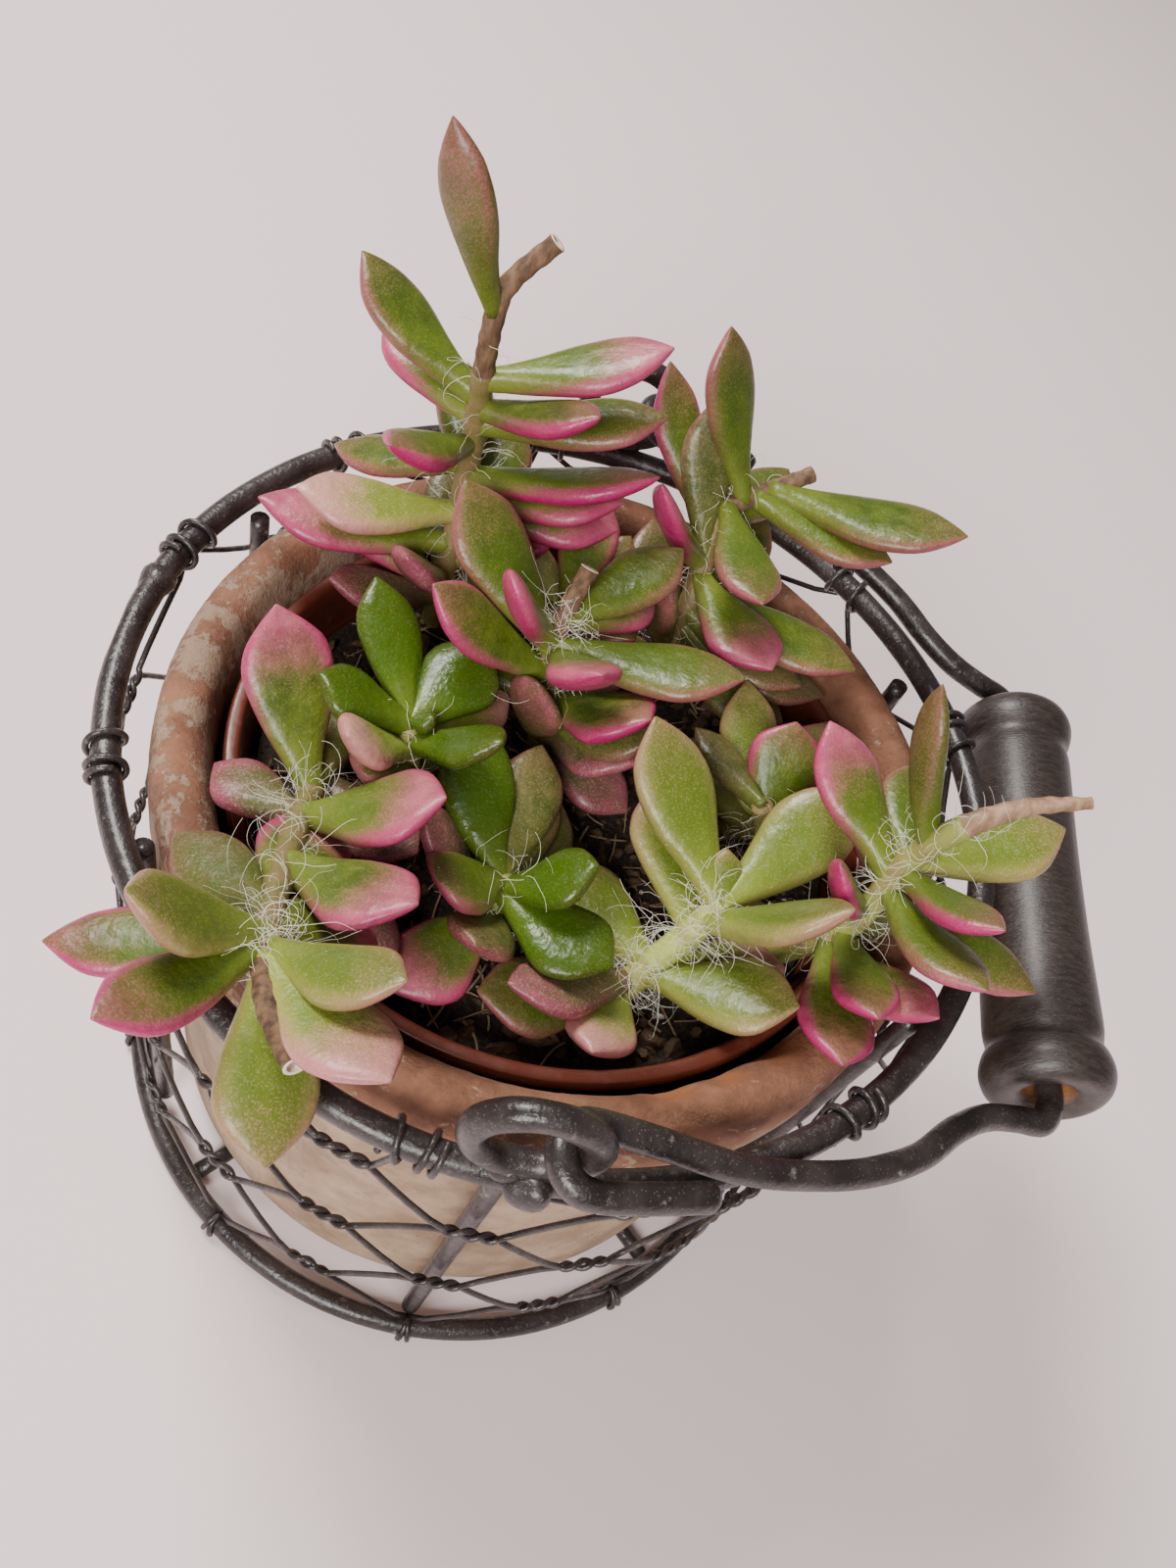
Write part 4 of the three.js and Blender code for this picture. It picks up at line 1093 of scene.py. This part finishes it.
# A stalk with scars where its leaves sit, its dead end if it has one, and its leaves
def make_stem(name, materials, hair, rng):
    path, radius, stalk, letters, *leaves = STEMS[name]
    fresh, twig, straw, hairs = stalk
    line = curve_through(path, EVEN, 24)
    along = lengths_along(line)
    total = along[-1]
    root_end = np.array([path[0][0], path[0][1], SOIL_Z - ROOT_DEPTH])
    steps = int(total / STALK_STEP)
    fine = resample(line, steps)
    distance = np.linspace(0, total, steps)
    sizes = radius * (1.0 - 0.1 * distance / total)
    scar = np.zeros(steps)
    for leaf in leaves:
        scar = np.maximum(scar, np.exp(-(((distance - leaf[0]) / SCAR_REACH) ** 2)))
    sizes = sizes * (1 + 0.10 * scar)
    dry = np.clip((distance - twig) / max(total - twig, 1), 0, 1)
    shrunk = 0.93 + 0.05 * np.sin(distance * 2.1) - 0.45 * straw * dry
    sizes = np.where(distance > twig, sizes * shrunk, sizes)
    fine = np.concatenate([np.linspace(root_end, fine[0], ROOT_STEPS + 1)[:-1], fine])
    sizes = np.concatenate([np.full(ROOT_STEPS, sizes[0]), sizes])
    scar = np.concatenate([np.zeros(ROOT_STEPS), scar])
    dead = np.concatenate([np.zeros(ROOT_STEPS, bool), distance >= twig])
    plant = Soup()
    tubes = tube(fine, sizes, STALK_SIDES, False, STALK_LUMPS, rng)
    plant.add_grid(tubes[~dead], STALK, scar=scar[~dead], fresh=fresh)
    if dead.sum() > 2:
        end = tubes[int(np.argmax(dead)) - 1:]
        plant.add_grid(end, TWIG, caps=False, straw=straw)
        rim = end[-1]
        centre = rim.mean(axis=0)
        tip = unit(fine[-1] - fine[-2]) * 0.15
        inner = centre + (rim - centre) * 0.55 - tip
        cap = np.stack([rim, centre + (rim - centre) * 0.85 + tip, inner])
        plant.add_grid(cap, CUT)
    for leaf, letter in zip(leaves, letters):
        place = min(leaf[0], total - 0.5)
        root = points_at(place, along, line)
        grid, t, margin, under = leaf_grid(root, leaf, rng)
        look = dict(zip(LOOK_NAMES, LEAF_LOOKS[letter]))
        look["rosy"] *= 0.85 + 0.3 * rng.random()
        look["pale"] *= 0.8 + 0.4 * rng.random()
        grid = keep_in(name, grid)
        plant.add_grid(grid, LEAF, along=t, margin=margin, under=under, tint=rng.random(), **look)
    plant.make(name + "_leafy", materials, replaces=[name])
    make_hairs(name, line, radius, hairs, leaves, hair, rng)


# Long pale hairs that curl out of the leaf axils
def make_hairs(name, line, radius, stretch, leaves, hair, rng):
    low, high, count = stretch
    along = lengths_along(line)
    places = [leaf[0] for leaf in leaves if low - 2 <= leaf[0] <= high + 2]
    tangent = unit(np.gradient(line, axis=0))
    soup = Soup()
    for _ in range(count):
        if places and rng.random() < AXIL_SHARE:
            place = places[rng.integers(len(places))] + 0.8 * rng.normal()
        else:
            place = low + (high - low) * rng.random()
        place = float(np.clip(place, 0.5, along[-1] - 0.5))
        base = points_at(place, along, line)
        axis = unit(points_at(place, along, tangent))
        way = rng.normal(size=3)
        way = unit(way - axis * (way @ axis))
        heading = unit(way + axis * 0.5 * rng.normal() + np.array([0, 0, 0.2]))
        step = 0.4 + 1.0 * rng.random() ** 1.6
        bend = 0.7 * rng.normal(size=3)
        points = [base + way * radius * 0.7]
        for _ in range(HAIR_STEPS):
            heading = unit(heading + HAIR_SHAKE * rng.normal(size=3) + HAIR_CURL * np.cross(bend, heading))
            points.append(points[-1] + heading * step)
        hair_line = curve_through(points, CENTRIPETAL, 2)
        width = HAIR_RADIUS * np.linspace(1, 0.5, len(hair_line))
        soup.add_grid(tube(hair_line, width, 3))
    soup.make(name + "_hairs", [hair])


def make_plants(hair):
    materials = [leaf_material(), stalk_material(), twig_material(), cut_material()]
    for number, name in enumerate(STEMS):
        make_stem(name, materials, hair, np.random.default_rng(SEED + 20 + number))


def make_stage():
    s = Shader("floor")
    colour = s.blend(s.noise(400, 3), "floor")
    s.set(Base_Color=colour, Roughness=0.85)
    mesh = bpy.data.meshes.new("floor")
    corners = [(x * FLOOR_HALF, y * FLOOR_HALF, 0) for x, y in ((-1, -1), (1, -1), (1, 1), (-1, 1))]
    mesh.from_pydata(corners, [], [(0, 1, 2, 3)])
    mesh.materials.append(s.material)
    floor = bpy.data.objects.new("floor", mesh)
    bpy.context.scene.collection.objects.link(floor)


# Puts a light or a camera into the scene: both look along the reverse of their back direction
def stand(thing, right, up, back, place):
    rows = np.column_stack([right, up, back, place]).tolist()
    thing.matrix_world = Matrix([*rows, [0, 0, 0, 1]])
    bpy.context.scene.collection.objects.link(thing)


def add_light(name, place, size, power, colour):
    data = bpy.data.lights.new(name, "AREA")
    data.shape = "DISK"
    data.size = size
    data.energy = power
    data.color = colour
    light = bpy.data.objects.new(name, data)
    place = np.asarray(place, float)
    back = unit(place - np.asarray(LIGHT_AIM, float))
    right = unit(np.cross((0, 0, 1.0), back))
    up = np.cross(back, right)
    stand(light, right, up, back, place)


def make_lights():
    world = bpy.data.worlds.new("soft_room")
    world.use_nodes = True
    background = world.node_tree.nodes["Background"]
    background.inputs["Color"].default_value = ROOM_COLOUR
    background.inputs["Strength"].default_value = ROOM_STRENGTH
    bpy.context.scene.world = world
    for light in LIGHTS:
        add_light(*light)


def make_camera():
    data = bpy.data.cameras.new("camera")
    data.sensor_width = CAMERA_SENSOR
    data.lens = CAMERA_LENS
    data.clip_start = CAMERA_NEAR * MM
    camera = bpy.data.objects.new("camera", data)
    right = unit(CAMERA_RIGHT)
    down = unit(CAMERA_DOWN)
    forward = np.cross(right, down)
    stand(camera, right, -down, -forward, np.array(CAMERA_PLACE) * MM)
    bpy.context.scene.camera = camera


make_camera()
iron = iron_material("lacquered_iron", "iron", 0.5)
wire = iron_material("net_wire", "wire", 0.35)
make_rings(iron)
make_posts(iron)
make_netting(wire)
make_eye("eye_front", -1, iron, SEED + 3)
make_eye("eye_back", 1, iron, SEED + 4)
make_handle(iron, grip_material())
make_pots(clay_material(), nursery_material())
make_soil(
    soil_material(),
    crumb_material("bark_crumb", "bark"),
    crumb_material("perlite", "perlite"),
    crumb_material("peat_fibre", "fibre"),
)
make_plants(hair_material())
make_stage()
make_lights()

bpy.context.view_layer.update()
